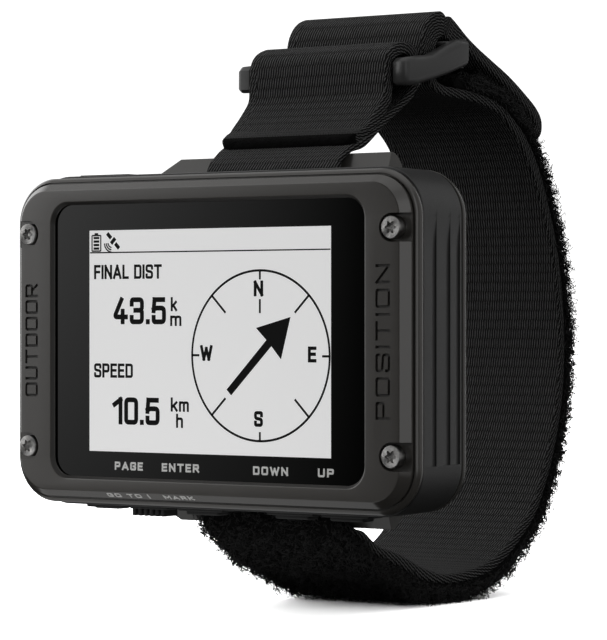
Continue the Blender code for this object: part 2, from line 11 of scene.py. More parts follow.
import bmesh
import bpy
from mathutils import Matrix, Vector


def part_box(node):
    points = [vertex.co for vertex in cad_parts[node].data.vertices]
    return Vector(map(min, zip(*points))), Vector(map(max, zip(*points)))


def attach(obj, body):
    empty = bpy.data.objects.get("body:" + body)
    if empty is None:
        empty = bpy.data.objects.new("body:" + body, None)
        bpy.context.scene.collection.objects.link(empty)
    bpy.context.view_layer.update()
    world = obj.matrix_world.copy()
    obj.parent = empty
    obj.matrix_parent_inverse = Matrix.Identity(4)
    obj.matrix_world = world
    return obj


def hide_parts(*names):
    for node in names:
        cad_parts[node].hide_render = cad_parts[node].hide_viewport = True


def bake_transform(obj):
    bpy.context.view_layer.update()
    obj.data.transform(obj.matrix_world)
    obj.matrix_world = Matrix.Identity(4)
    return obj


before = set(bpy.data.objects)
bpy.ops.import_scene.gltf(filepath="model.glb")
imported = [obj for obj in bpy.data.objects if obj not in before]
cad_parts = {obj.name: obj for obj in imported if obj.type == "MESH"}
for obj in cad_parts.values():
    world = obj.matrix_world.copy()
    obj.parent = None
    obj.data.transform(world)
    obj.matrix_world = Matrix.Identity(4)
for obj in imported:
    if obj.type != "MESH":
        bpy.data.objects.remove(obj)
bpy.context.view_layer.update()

MM = 0.001
BEZEL_LOW, BEZEL_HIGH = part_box("front_bezel")
FACE_Y = -2.5  # the bezel's flat face, in millimetres from its widest line
CASE_ORIGIN = Vector((0.0, BEZEL_LOW.y - FACE_Y * MM, (BEZEL_LOW.z + BEZEL_HIGH.z) / 2))
LENS_Y = (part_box("display_lens")[0].y - CASE_ORIGIN.y) / MM
STRAP_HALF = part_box("strap_webbing")[1].x / MM
random.seed(7)


def at(x, y, z):
    """A point of the case's frame, in millimetres, as a point of the row's frame in metres."""
    return CASE_ORIGIN + Vector((x, y, z)) * MM


# -------- node helpers


class Nodes:
    """A small writer of node trees: each call adds a node and returns its output."""

    def __init__(self, owner):
        self.owner = owner
        owner.use_nodes = True
        self.tree = owner.node_tree

    def add(self, kind, inputs=(), **settings):
        """Adds a node with these settings, and with values or links at its inputs, by name or number."""
        node = self.tree.nodes.new(kind)
        for key, value in settings.items():
            setattr(node, key, value)
        for key, source in dict(inputs).items():
            self.link(source, node.inputs[key])
        return node

    def link(self, source, target):
        """Leads a value, a colour or another node's output to an input."""
        if isinstance(source, (int, float)):
            target.default_value = source
        elif isinstance(source, tuple):
            target.default_value = (*source, 1.0)
        else:
            self.tree.links.new(source, target)

    def math(self, operation, first, second=0.0, third=0.0, clamp=False):
        inputs = enumerate((first, second, third))
        return self.add("ShaderNodeMath", inputs, operation=operation, use_clamp=clamp).outputs[0]

    def place(self):
        return self.add("ShaderNodeTexCoord").outputs["Object"]

    def uv(self, name):
        return self.add("ShaderNodeUVMap", uv_map=name).outputs[0]

    def split(self, vector):
        return self.add("ShaderNodeSeparateXYZ", {0: vector}).outputs

    def noise(self, scale, detail=3.0, roughness=0.5):
        """Noise over the piece's own place in the row's frame, in metres."""
        inputs = {"Vector": self.place(), "Scale": scale, "Detail": detail, "Roughness": roughness}
        return self.add("ShaderNodeTexNoise", inputs).outputs["Fac"]

    def ramp(self, value, stops):
        node = self.add("ShaderNodeValToRGB", {"Fac": value})
        for element, (position, colour) in zip(node.color_ramp.elements, stops):
            element.position = position
            element.color = (*colour, 1.0)
        return node.outputs["Color"]

    def mix(self, factor, first, second):
        return self.add("ShaderNodeMix", {"Factor": factor, 6: first, 7: second}, data_type="RGBA").outputs[2]

    def bump(self, height, distance):
        return self.add("ShaderNodeBump", {"Height": height, "Distance": distance}).outputs["Normal"]

    def set(self, **values):
        """Sets inputs of the material's shader, with _ for a space, and returns the material."""
        for key, value in values.items():
            self.link(value, self.tree.nodes["Principled BSDF"].inputs[key.replace("_", " ")])
        return self.owner


def new_material(name):
    return Nodes(bpy.data.materials.new(name))


# -------- materials

FINE_GRAIN, SOFT_GRAIN = 0.000003, 0.000004  # how high the grain stands on a glossy moulding, in metres
# how strongly the display's painted glow shines; the display is no lamp
DISPLAY_PAINTED_GLOW = 0.62
CELL, CELL_LINE = 0.00008, 0.000006  # half a picture cell of the display, and half the line between two


def grey(level):
    return (level,) * 3


def scaled(colour, factor):
    """A colour made lighter or darker, white at most."""
    return tuple(min(channel * factor, 1.0) for channel in colour)


def moulded(name, colour, roughness, grain=0.00002, shine=0.5):
    """Fine-grained moulded plastic: a spark-eroded grain and a little unevenness in colour and gloss."""
    n = new_material(name)
    fine = n.noise(9000.0, 2.0)
    broad = n.noise(160.0)
    tint = n.mix(broad, scaled(colour, 0.94), scaled(colour, 1.06))
    gloss = n.math("MULTIPLY_ADD", broad, 0.04, roughness - 0.02)
    return n.set(Base_Color=tint, Roughness=gloss, Normal=n.bump(fine, grain), Specular_IOR_Level=shine)


def lens_gloss():
    n = new_material("lens gloss black")
    gloss = n.math("MULTIPLY_ADD", n.noise(60.0, 2.0), 0.02, 0.03)
    return n.set(Base_Color=(0.0012, 0.0014, 0.0012), Roughness=gloss)


def display_glow(name, colour):
    """The reflective display behind its window: even, matt, with a faint grid of picture cells, and a painted
    glow, for it emits light though it is no lamp.
    """
    n = new_material(name)
    x, _, z = n.split(n.place())
    across = n.math("GREATER_THAN", n.math("PINGPONG", x, CELL), CELL_LINE)
    upward = n.math("GREATER_THAN", n.math("PINGPONG", z, CELL), CELL_LINE)
    tint = n.mix(n.math("MULTIPLY", across, upward), scaled(colour, 0.93), colour)
    n.set(Base_Color=tint, Roughness=0.5, Specular_IOR_Level=0.2)
    return n.set(Emission_Color=tint, Emission_Strength=DISPLAY_PAINTED_GLOW)


def ink(name, colour):
    n = new_material(name)
    tint = n.mix(n.noise(6000.0, 2.0), scaled(colour, 0.9), colour)
    return n.set(Base_Color=tint, Roughness=0.45, Specular_IOR_Level=0.12)


def turned_steel():
    """Stainless steel with the fine rings of turning. UV is the angle and the radius in millimetres."""
    n = new_material("turned stainless")
    radius = n.split(n.uv("Turned"))["Y"]
    rings = n.math("SINE", n.math("MULTIPLY", radius, 60.0))
    blotch = n.noise(1800.0, 4.0)
    height = n.math("ADD", n.math("MULTIPLY", rings, 0.5), blotch)
    tint = n.ramp(blotch, [(0.3, grey(0.32)), (0.7, (0.66, 0.65, 0.63))])
    gloss = n.math("MULTIPLY_ADD", blotch, 0.25, 0.22)
    return n.set(Base_Color=tint, Metallic=1.0, Roughness=gloss, Normal=n.bump(height, 0.00003))


def plain_metal():
    n = new_material("tinned sheet")
    blotch = n.noise(700.0, 4.0)
    tint = n.ramp(blotch, [(0.3, (0.42, 0.42, 0.40)), (0.7, (0.60, 0.60, 0.58))])
    gloss = n.math("MULTIPLY_ADD", blotch, 0.25, 0.2)
    return n.set(Base_Color=tint, Metallic=1.0, Roughness=gloss, Normal=n.bump(blotch, 0.00002))


def rubber(name, colour):
    n = new_material(name)
    fine = n.noise(5000.0)
    tint = n.mix(fine, scaled(colour, 0.8), scaled(colour, 1.25))
    return n.set(Base_Color=tint, Roughness=0.62, Normal=n.bump(fine, 0.00003))


def woven(name, row_pitch, stitch_pitch, slant, light):
    """Elastic webbing: rows across the strap, each a line of slanted stitches, painted lighter on their tops
    and darker in the gaps between them. UV is in millimetres.
    """
    n = new_material(name)
    wobble = n.noise(900.0, 2.0)
    x, y, _ = n.split(n.uv("Weave"))
    across = n.math("MULTIPLY_ADD", wobble, 0.12, x)
    along = n.math("MULTIPLY_ADD", wobble, 0.16, y)
    row = n.math("DIVIDE", along, row_pitch)
    in_row = n.math("FRACT", row)
    step = n.math("MULTIPLY", n.math("FLOOR", row), 0.5)
    phase = n.math("ADD", n.math("DIVIDE", across, stitch_pitch), n.math("MULTIPLY_ADD", in_row, slant, step))
    stitch = n.math("MULTIPLY_ADD", n.math("PINGPONG", phase, 0.5), 3.4, -0.35)
    stitch = n.math("MAXIMUM", n.math("SMOOTH_MIN", stitch, 1.0, 0.3), 0.0)
    swell = n.math("POWER", n.math("SINE", n.math("MULTIPLY", in_row, math.pi)), 0.35)
    swell = n.math("MULTIPLY_ADD", swell, 0.45, 0.55)
    fuzz = n.noise(5200.0)
    height = n.math("MULTIPLY", stitch, swell)
    rough_height = n.math("MULTIPLY_ADD", fuzz, 0.25, height)
    # painted light and shade: the colour follows the stitch height, light on the tops and near black in the
    # gaps, where shade falls
    lit = n.math("MULTIPLY", n.math("MULTIPLY", n.math("POWER", height, 1.6), fuzz), 1.9, clamp=True)
    tint = n.mix(lit, grey(0.0006), grey(light))
    return n.set(Base_Color=tint, Roughness=0.82, Normal=n.bump(rough_height, 0.0005), Specular_IOR_Level=0.2)


def napped(name, dark, light):
    """Brushed cloth, a tangle of fine dark fibre."""
    n = new_material(name)
    tangle = n.noise(2600.0, 4.0, 0.7)
    clump = n.noise(700.0, 3.0, 0.6)
    height = n.math("ADD", tangle, clump)
    tint = n.mix(n.math("MULTIPLY", tangle, clump), grey(dark), grey(light))
    return n.set(Base_Color=tint, Roughness=1.0, Normal=n.bump(height, 0.00035), Specular_IOR_Level=0.1)


def fibre():
    n = new_material("pile fibre")
    tint = n.mix(n.noise(800.0, 2.0), grey(0.008), grey(0.05))
    return n.set(Base_Color=tint, Roughness=0.75, Specular_IOR_Level=0.3)


def board():
    n = new_material("solder mask")
    blotch = n.noise(900.0)
    tint = n.ramp(blotch, [(0.35, (0.010, 0.07, 0.03)), (0.65, (0.02, 0.12, 0.05))])
    return n.set(Base_Color=tint, Roughness=0.4, Normal=n.bump(blotch, 0.00001))


MATERIALS = {
    "bezel": moulded("warm grey moulding", (0.066, 0.062, 0.057), 0.20, FINE_GRAIN, 0.9),
    # painted shade: a darker moulding for the floor of the engraved words, where shade falls in the grooves
    "engraved": moulded("engraved groove painted shade", (0.030, 0.028, 0.026), 0.45),
    "housing": moulded("black grey moulding", grey(0.038), 0.42),
    "frame": moulded("grey frame moulding", (0.062, 0.060, 0.056), 0.25, FINE_GRAIN, 0.9),
    "inner": moulded("inner moulding", grey(0.012), 0.6),
    "ring": moulded("ring acetal", grey(0.062), 0.32, SOFT_GRAIN),
    "lens": lens_gloss(),
    # painted glow: the display's cells emit light though they are no lamp
    "display": display_glow("display cells", grey(0.67)),
    "dark ink": ink("display segments", grey(0.004)),
    "lens ink": ink("window print", (0.90, 0.90, 0.88)),
    "facet ink": ink("facet print", (0.85, 0.85, 0.83)),
    "steel": turned_steel(),
    "metal": plain_metal(),
    "rubber": rubber("seal rubber", grey(0.02)),
    "key": rubber("key rubber", grey(0.016)),
    "board": board(),
    "ceramic": moulded("fired ceramic", (0.55, 0.50, 0.42), 0.5),
    "sleeve": moulded("cell sleeve", (0.03, 0.08, 0.3), 0.3, SOFT_GRAIN),
    "strap": woven("strap weave", 1.0, 0.5, 0.85, 0.16),
    "strap inside": woven("wrist side weave", 1.6, 0.46, 0.25, 0.15),
    "facing": napped("pile backing", 0.002, 0.02),
    "fibre": fibre(),
    "hook": rubber("hook tape", grey(0.006)),
    # painted shade: near-black cloth for the hem's nose, standing in for the shade under the flap's end
    "hem": napped("hem nose painted shade", 0.001, 0.012),
}


# -------- mesh helpers


def linked(name, data):
    """An object of this data, put in the scene."""
    made = bpy.data.objects.new(name, data)
    bpy.context.scene.collection.objects.link(made)
    return made


def as_mesh(name, work):
    """The mesh of a bmesh, which is freed."""
    mesh = bpy.data.meshes.new(name)
    work.to_mesh(mesh)
    work.free()
    return mesh


def finish_mesh(name, work, key, smooth=35.0):
    """Makes an object of a bmesh in the row's frame, with its material and smooth shading."""
    bmesh.ops.recalc_face_normals(work, faces=work.faces)
    mesh = as_mesh(name, work)
    mesh.shade_smooth()
    mesh.set_sharp_from_angle(angle=math.radians(smooth))
    mesh.materials.append(MATERIALS[key])
    return linked(name, mesh)


def assign(made, body, slot, *replaced):
    """Says which body a piece rides on and the CAD nodes that it stands for; slot is not used."""
    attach(made, body)
    if replaced:
        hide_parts(*replaced)


def polar(centre, reach, angle):
    """The (X, Z) point at this reach and angle from a centre."""
    return centre[0] + reach * math.cos(angle), centre[1] + reach * math.sin(angle)


def circle(centre, radius, steps):
    return [polar(centre, radius, 2 * math.pi * step / steps) for step in range(steps)]


def rounded_rectangle(half_x, half_z, radius, steps):
    points = []
    for corner, (side_x, side_z) in enumerate(((1, 1), (-1, 1), (-1, -1), (1, -1))):
        centre = (side_x * (half_x - radius), side_z * (half_z - radius))
        points += [polar(centre, radius, (corner + step / steps) * math.pi / 2) for step in range(steps + 1)]
    return points


def skin(work, rings, closed=False):
    """Joins rings of points into a skin, closed on itself or capped at both ends."""
    rows = [[work.verts.new(point) for point in ring] for ring in rings]
    pairs = list(zip(rows, rows[1:]))
    if closed:
        pairs.append((rows[-1], rows[0]))
    for first, second in pairs:
        for index in range(len(first)):
            after = (index + 1) % len(first)
            work.faces.new((first[index], first[after], second[after], second[index]))
    if not closed:
        work.faces.new(rows[0])
        work.faces.new(rows[-1])
    return rows


def shell(rings, closed=False):
    """A bmesh of the skin over rings of points."""
    work = bmesh.new()
    skin(work, rings, closed)
    return work


def lofted(sections, steps=14, closed=False):
    """A loft through (half width, half height, corner radius, depth) sections of the case."""
    rings = []
    for half_x, half_z, radius, depth in sections:
        outline = rounded_rectangle(half_x, half_z, max(radius, 0.05), steps)
        rings.append([at(x, depth, z) for x, z in outline])
    return shell(rings, closed)


def plate(outline, front, back):
    """A flat solid with an (X, Z) outline in the case's frame, between two depths."""
    return shell([[at(x, depth, z) for x, z in outline] for depth in (front, back)])


def bar(low, high, bevel=0.0, segments=3):
    """A box between two corners of the case's frame, with rounded edges if it has a bevel."""
    work = bmesh.new()
    bmesh.ops.create_cube(work, size=1.0)
    a, b = at(*low), at(*high)
    bmesh.ops.scale(work, verts=work.verts, vec=b - a)
    bmesh.ops.translate(work, verts=work.verts, vec=(a + b) / 2)
    if bevel:
        edges = list(work.edges)
        bmesh.ops.bevel(work, geom=edges, offset=bevel * MM, segments=segments, affect="EDGES", profile=0.6)
    return work


def merged(works):
    """One bmesh from several, each left as its own shell."""
    whole = bmesh.new()
    for work in works:
        mesh = as_mesh("part", work)
        whole.from_mesh(mesh)
        bpy.data.meshes.remove(mesh)
    return whole


def flat_faced(target, angle):
    """Smooth shading that leaves large faces flat and turns only across the narrow strips between them."""
    target.data.shade_smooth()
    target.data.set_sharp_from_angle(angle=math.radians(angle))
    step = target.modifiers.new("flat faces", "WEIGHTED_NORMAL")
    step.weight = 100
    step.keep_sharp = True


def boolean(target, work, operation="DIFFERENCE", own_overlaps=False):
    """Cuts or joins a bmesh with an object and applies the result at once."""
    bmesh.ops.recalc_face_normals(work, faces=work.faces)
    tool = linked("tool", as_mesh("tool", work))
    step = target.modifiers.new("tool", "BOOLEAN")
    step.operation = operation
    step.solver = "EXACT"
    step.use_self = own_overlaps
    step.object = tool
    graph = bpy.context.evaluated_depsgraph_get()
    made = bpy.data.meshes.new_from_object(target.evaluated_get(graph), depsgraph=graph)
    target.modifiers.remove(step)
    target.data = made
    bpy.data.objects.remove(tool)


def soften(target, width, segments=2, angle=35):
    """Rounds the edges that turn by more than an angle, with a modifier."""
    step = target.modifiers.new("soft edges", "BEVEL")
    step.width = width * MM
    step.segments = segments
    step.limit_method = "ANGLE"
    step.angle_limit = math.radians(angle)
    step.harden_normals = True
    step.miter_outer = "MITER_ARC"


# Letters and digits as strokes, in hundredths of their height: a width, then runs of x:z points, parted by
# commas. A run that ends where it starts is closed. Corners are rounded when the strokes are drawn.
GLYPHS = {
    " ": (12, ""),
    ".": (0, "0:0 0:1"),
    "|": (0, "0:-10 0:110"),
    "0": (50, "25:0 50:0 50:100 0:100 0:0 25:0"),
    "1": (30, "0:78 30:100, 30:100 30:0"),
    "3": (50, "0:80 0:100 50:100 50:52 18:52, 30:52 50:52 50:0 0:0 0:20"),
    "4": (56, "34:100 0:22 56:22, 40:48 40:0"),
    "5": (50, "46:100 4:100, 4:100 0:50, 0:56 12:62 50:62 50:0 0:0 0:20"),
    "A": (60, "0:0 30:100, 30:100 60:0, 10:28 50:28"),
    "D": (50, "0:0 0:100, 0:100 50:100 50:0 0:0"),
    "E": (42, "0:0 0:100, 0:100 42:100, 0:52 38:52, 0:0 42:0"),
    "F": (42, "0:0 0:100, 0:100 42:100, 0:50 38:50"),
    "G": (50, "50:78 50:100 0:100 0:0 50:0 50:48 28:48"),
    "I": (0, "0:0 0:100"),
    "K": (50, "0:0 0:100, 50:100 4:42, 18:56 50:0"),
    "L": (40, "0:100 0:0, 0:0 40:0"),
    "M": (66, "0:0 0:100, 0:100 33:30, 33:30 66:100, 66:100 66:0"),
    "N": (52, "0:0 0:100, 0:100 52:0, 52:0 52:100"),
    "O": (52, "26:0 52:0 52:100 0:100 0:0 26:0"),
    "P": (48, "0:0 0:100, 0:100 48:100 48:44 0:44"),
    "R": (50, "0:0 0:100, 0:100 48:100 48:46 0:46, 24:46 50:0"),
    "S": (50, "50:78 50:100 0:100 0:56 50:46 50:0 0:0 0:22"),
    "T": (52, "26:0 26:100, 0:100 52:100"),
    "U": (50, "0:100 0:0 50:0 50:100"),
    "W": (78, "0:100 19:0, 19:0 39:85, 39:85 59:0, 59:0 78:100"),
    "h": (42, "0:0 0:100, 0:50 4:68 42:68 42:0"),
    "k": (42, "0:0 0:100, 40:68 4:28, 16:40 42:0"),
    "m": (72, "0:0 0:68, 0:50 4:68 36:68 36:0, 36:50 40:68 72:68 72:0"),
}


def glyph(mark):
    """A mark's width and its runs of points, on a field one unit high."""
    wide, text = GLYPHS[mark]
    runs = [run.split() for run in text.split(",") if run]
    return wide / 100, [[[int(value) / 100 for value in pair.split(":")] for pair in run] for run in runs]


STROKE_STEP = 0.002  # how much higher each stroke of a letter starts, so that no two fronts share a plane


def rounded_run(points, radius, steps=5):
    """A run of points with each inner corner replaced by a short arc."""
    made = [points[0]]
    for before, corner, after in zip(points, points[1:], points[2:]):
        into, out = corner - before, after - corner
        cut = min(radius, into.length / 2, out.length / 2)
        start, end = corner - into.normalized() * cut, corner + out.normalized() * cut
        for step in range(steps + 1):
            t = step / steps
            made.append(start * (1 - t) ** 2 + corner * 2 * t * (1 - t) + end * t * t)
    made.append(points[-1])
    return made


def ribbon(points, width, front, back):
    """A flat solid along a run of (X, Z) points, mitred at its corners and with square caps."""
    closed = (points[0] - points[-1]).length < 1e-6
    if closed:
        points = points[:-1]
    else:
        first = points[0] + (points[0] - points[1]).normalized() * width / 2
        last = points[-1] + (points[-1] - points[-2]).normalized() * width / 2
        points = [first, *points[1:-1], last]
    count = len(points)
    rings = []
    for index, point in enumerate(points):
        before = points[index - 1] if index or closed else point
        after = points[(index + 1) % count] if index < count - 1 or closed else point
        coming, going = point - before, after - point
        into = (coming if coming.length > 1e-9 else going).normalized()
        out = going.normalized() if going.length > 1e-9 else into
        across = Vector((-into.y - out.y, into.x + out.x)).normalized()
        reach = width / 2 / max(across.dot(Vector((-out.y, out.x))), 0.5)
        left, right = point + across * reach, point - across * reach
        ring = [(left, front), (right, front), (right, back), (left, back)]
        rings.append([at(spot.x, depth, spot.y) for spot, depth in ring])
    return shell(rings, closed)


def letters(text, x0, x1, z0, z1, width, front, back, upward=False, radius=0.16):
    """Text in strokes whose ink fills a box of the case's face, reading to the right or upwards."""
    across, up = (z1 - z0, x1 - x0) if upward else (x1 - x0, z1 - z0)
    gap = 0.06 + width / (up - width)
    total = sum(glyph(mark)[0] for mark in text) + gap * (len(text) - 1)
    scale_x = (across - width) / max(total, 1e-6)
    scale_z = up - width
    works = []
    pen = 0.0
    for place, mark in enumerate(text):
        wide, runs = glyph(mark)
        for order, run in enumerate(runs):
            points = []
            for x, z in run:
                spot = Vector((width / 2 + (pen + x) * scale_x, width / 2 + z * scale_z))
                points.append(Vector((x1 - spot.y, z0 + spot.x) if upward else (x0 + spot.x, z0 + spot.y)))
            points = rounded_run(points, radius * scale_z)
            lift = STROKE_STEP * (order + 3 * (place % 2))
            works.append(ribbon(points, width, front - lift, back))
        pen += wide + gap
    return works


# -------- bezel, screws and window

SCREWS = {"top_left": (-1, 1), "top_right": (1, 1), "bottom_left": (-1, -1), "bottom_right": (1, -1)}
SCREW_X, SCREW_Z = 33.55, 16.2
SCREW_HOLE = 1.1
NOTCH_HALF, NOTCH_SIDE, NOTCH_STEPS = 2.05, 36.3, 24
SEAT_Y = -1.05
WORD_DEPTH, WORD_WIDTH, WORD_STROKE = 0.3, 2.5, 0.4
ENGRAVED_Y = FACE_Y + WORD_DEPTH
WORDS = (("OUTDOOR", -34.1, 8.6), ("POSITION", 30.9, 11.0))  # left edge and half length
# The bezel's section from its back round the front and in again: half width, half height, corner, depth.
BEZEL = (
    (36.05, 23.6, 5.9, 1.75),
    (36.3, 23.85, 6.1, 1.65),
    (36.6, 24.15, 6.4, 1.25),
    (36.9, 24.45, 6.7, 0.75),
    (37.1, 24.67, 6.9, 0.25),
    (37.12, 24.7, 6.92, -0.1),
    (36.95, 24.5, 6.75, -0.5),
    (36.72, 24.27, 6.52, -0.75),
    (36.52, 24.07, 6.32, -0.86),
    (36.46, 24.01, 6.26, -0.8),
    (36.44, 23.99, 6.24, -0.5),
    (36.24, 23.79, 6.04, -0.5),
    (36.2, 23.75, 6.0, -1.1),
    (36.12, 23.67, 5.92, -1.24),
    (34.98, 22.78, 4.98, -2.44),
    (34.8, 22.62, 4.8, -2.5),
    (29.2, 21.1, 3.4, -2.5),
    (29.05, 20.95, 3.3, -2.44),
    (28.7, 20.6, 3.05, -1.98),
    (28.65, 20.55, 3.0, -1.88),
    (29.0, 21.3, 3.2, -1.62),
    (29.6, 21.9, 3.3, -1.62),
    (29.6, 21.9, 3.3, 1.75),
)
CHAMFER_TOP, CHAMFER_FOOT = 14, 13  # the rows of BEZEL where its chamfer starts and ends
# A screw's profile, (radius, depth): its head, then its six-lobe recess.
SCREW_HEAD = ((1.6, -1.0), (1.62, -1.1), (1.62, -2.45), (1.58, -2.58), (1.49, -2.66), (1.38, -2.68))
SCREW_RECESS = ((1.0, -2.68), (0.95, -2.62), (0.88, -2.25), (0.5, -2.2))
TURN_STEPS = 60
DISPLAY_OUTLINE = ((-22.1, -16.7), (22.6, -16.7), (22.6, 16.6), (-22.1, 16.6))


def notch(side, level):
    """A slot round at its inner end and open at the side of the case, down to the screw's seat."""
    outline = []
    for step in range(NOTCH_STEPS + 1):
        angle = math.pi / 2 + math.pi * step / NOTCH_STEPS
        x, z = SCREW_X + NOTCH_HALF * math.cos(angle), level * SCREW_Z + NOTCH_HALF * math.sin(angle)
        outline.append((side * x, z))
    outline += [(side * NOTCH_SIDE, level * SCREW_Z + end * NOTCH_HALF) for end in (-1, 1)]
    return plate(outline, -4.0, SEAT_Y)


def bezel():
    """The front cover with its screw notches and the words cut in its face."""
    made = finish_mesh("bezel_shell", lofted(BEZEL, 18, closed=True), "bezel")
    for side, level in SCREWS.values():
        boolean(made, notch(side, level))
        boolean(made, plate(circle((SCREW_X * side, SCREW_Z * level), SCREW_HOLE, 24), -3.0, 3.0))
    for text, x0, half in WORDS:
        box = (x0, x0 + WORD_WIDTH, -half, half)
        words = letters(text, *box, WORD_STROKE, FACE_Y - 0.5, ENGRAVED_Y, upward=True, radius=0.12)
        boolean(made, merged(words), own_overlaps=True)
    # The floor of the engraved words takes the darker moulding: painted shade in the grooves.
    made.data.materials.append(MATERIALS["engraved"])
    foot = at(0, ENGRAVED_Y, 0).y
    for face in made.data.polygons:
        face.material_index = int(abs(face.center.y - foot) < 0.02 * MM)
    flat_faced(made, 24)
    assign(made, "case", "warm_grey_moulding", "front_bezel")


def screw(name, side, level):
    """A low cap head with a six-lobe recess; UV carries the radius for its turning marks."""
    x, z = SCREW_X * side, SCREW_Z * level
    work = bmesh.new()
    uv = work.loops.layers.uv.new("Turned")
    rings = []
    spin = random.uniform(0, 1)
    for index, (radius, depth) in enumerate(SCREW_HEAD + SCREW_RECESS):
        ring = []
        for step in range(TURN_STEPS):
            angle = 2 * math.pi * step / TURN_STEPS
            lobe = 1.0 if index < len(SCREW_HEAD) else 0.80 + 0.20 * math.cos(6 * angle + spin)
            ring.append(at(x + radius * lobe * math.cos(angle), depth, z + radius * lobe * math.sin(angle)))
        rings.append(ring)
    skin(work, rings)
    middle = at(x, 0, z)
    for face in work.faces:
        for loop in face.loops:
            offset = loop.vert.co - middle
            loop[uv].uv = (math.atan2(offset.z, offset.x), math.hypot(offset.x, offset.z) / MM)
    assign(finish_mesh(f"screw_head_{name}", work, "steel", 40), "case", "stainless_steel", f"screw_{name}")


def window():
    """The gloss window, and the display's lit area that stands a hair in front of it."""
    full = (29.3, 21.6, 3.0)
    sections = ((29.15, 21.45, 2.9, LENS_Y), (*full, LENS_Y + 0.12), (*full, LENS_Y + 1.2))
    assign(finish_mesh("window", lofted(sections, 18), "lens"), "case", "lens_black", "display_lens")
    # The display area carries the display's painted glow.
    area = plate(DISPLAY_OUTLINE, LENS_Y - 0.02, LENS_Y + 0.05)
    assign(finish_mesh("display_area", area, "display"), "case", "display_grey")


# -------- what the display shows

INK_FRONT = LENS_Y - 0.035
INK_BACK = LENS_Y - 0.005
LINE = 0.34


def stroke(x0, z0, x1, z1, width):
    """A straight line of ink."""
    along = Vector((x1 - x0, z1 - z0)).normalized()
    side = Vector((-along.y, along.x)) * width / 2
    a, b = Vector((x0, z0)), Vector((x1, z1))
    return plate([a - side, b - side, b + side, a + side], INK_FRONT, INK_BACK)


def dial(centre, radius, width, steps=128):
    """A flat ring of ink."""
    inner = radius - width
    profile = ((radius, INK_FRONT), (radius, INK_BACK), (inner, INK_BACK), (inner, INK_FRONT))
    rings = [[at(x, y, z) for x, z in circle(centre, reach, steps)] for reach, y in profile]
    return shell(rings, closed=True)


COMPASS, COMPASS_REACH = (9.95, -2.1), 12.6
COMPASS_TICKS = ((1.5, 0.0), (3.75, math.pi / 4))  # each kind's length and its turn from a quarter
# The compass letters: middle, half width.
COMPASS_LETTERS = (
    ("N", 9.7, 7.7, 0.85), ("S", 9.7, -11.3, 0.8), ("W", 0.15, -1.75, 1.15), ("E", 19.3, -1.85, 0.75),
)
COMPASS_ARROW = (
    (15.45, 3.55), (9.25, 1.95), (11.13, 0.19), (3.88, -7.1), (4.72, -7.94), (12.02, -0.7), (13.75, -2.6),
)


def compass_page():
    """A ring with four letters, ticks inside it and an arrow across."""
    works = [dial(COMPASS, COMPASS_REACH, LINE)]
    for quarter in range(4):
        for tick, turn in COMPASS_TICKS:
            angle = quarter * math.pi / 2 + turn
            ends = polar(COMPASS, COMPASS_REACH, angle) + polar(COMPASS, COMPASS_REACH - tick, angle)
            works.append(stroke(*ends, LINE))
    for text, x, z, half in COMPASS_LETTERS:
        works += letters(text, x - half, x + half, z - 1.15, z + 1.15, 0.5, INK_FRONT, INK_BACK)
    works.append(stroke(COMPASS[0], 6.15, COMPASS[0], 4.1, LINE))
    works.append(plate(COMPASS_ARROW, INK_FRONT, INK_BACK))
    return works


THIN = 0.22  # the finest line of the icons
CELL_BOX = (-21.6, -19.9, 13.5, 15.85)  # the battery sign: left, right, foot, top
SATELLITE = (-17.5, 15.0)


def status_icons():
    """A cell with four bars and a small satellite."""
    left, right, low, high = CELL_BOX
    works = [stroke(left, z, right, z, THIN) for z in (low, high)]
    works += [stroke(x, low, x, high, THIN) for x in (left, right)]
    for index in range(4):
        z = low + 0.38 + index * 0.53
        works.append(stroke(left + 0.3, z, right - 0.3, z, 0.36))
    works.append(stroke(left + 0.5, high + 0.23, right - 0.5, high + 0.23, 0.26))
    x, z = SATELLITE
    works.append(stroke(x - 0.4, z - 0.4, x + 0.4, z + 0.4, 0.6))
    for sign in (-1, 1):
        works.append(stroke(x + sign * 0.4, z - sign * 0.4, x + sign * 1.15, z - sign * 1.15, 0.6))
    for reach in (0.75, 1.1, 1.45):
        points = [polar((x - 0.25, z - 0.25), reach, math.radians(angle)) for angle in range(185, 266, 20)]
        works += [stroke(*a, *b, THIN) for a, b in zip(points, points[1:])]
    return works


# What the display says: text, left, right, foot, top and the width of its strokes.
READINGS = (
    ("FINAL DIST", -21.2, -8.2, 9.25, 11.4, 0.4),
    ("SPEED", -21.2, -13.7, -5.6, -3.45, 0.4),
    ("43.5", -17.6, -7.4, 2.45, 6.5, 0.74),
    ("10.5", -17.6, -8.6, -12.6, -8.5, 0.74),
    ("k", -6.5, -5.3, 4.4, 6.5, 0.38),
    ("m", -6.6, -4.5, 2.2, 4.3, 0.38),
    ("k", -6.5, -5.2, -10.5, -8.4, 0.38),
    ("m", -4.95, -3.1, -10.5, -8.4, 0.38),
    ("h", -5.5, -4.2, -12.9, -10.8, 0.38),
)
# The names on the window under the display and on the chamfer: text, left, right.
LABELS = (("PAGE", -17.2, -11.8), ("ENTER", -8.2, -1.2), ("DOWN", 8.7, 15.0), ("UP", 20.3, 23.1))
CHAMFER_LABELS = (("GO TO", -18.4, -11.9), ("|", -10.6, -10.38), ("MARK", -7.6, -2.0))


def display_marks():
    works = [stroke(-22.0, 13.25, 22.5, 13.25, 0.2)]
    works += status_icons()
    works += compass_page()
    for reading in READINGS:
        works += letters(*reading, INK_FRONT, INK_BACK)
    assign(finish_mesh("display_marks", merged(works), "dark ink"), "case", "lens_black")


def printed_labels():
    works = []
    for text, x0, x1 in LABELS:
        works += letters(text, x0, x1, -19.45, -18.2, 0.3, LENS_Y - 0.02, LENS_Y + 0.02)
    assign(finish_mesh("window_print", merged(works), "lens ink"), "case", "display_grey")


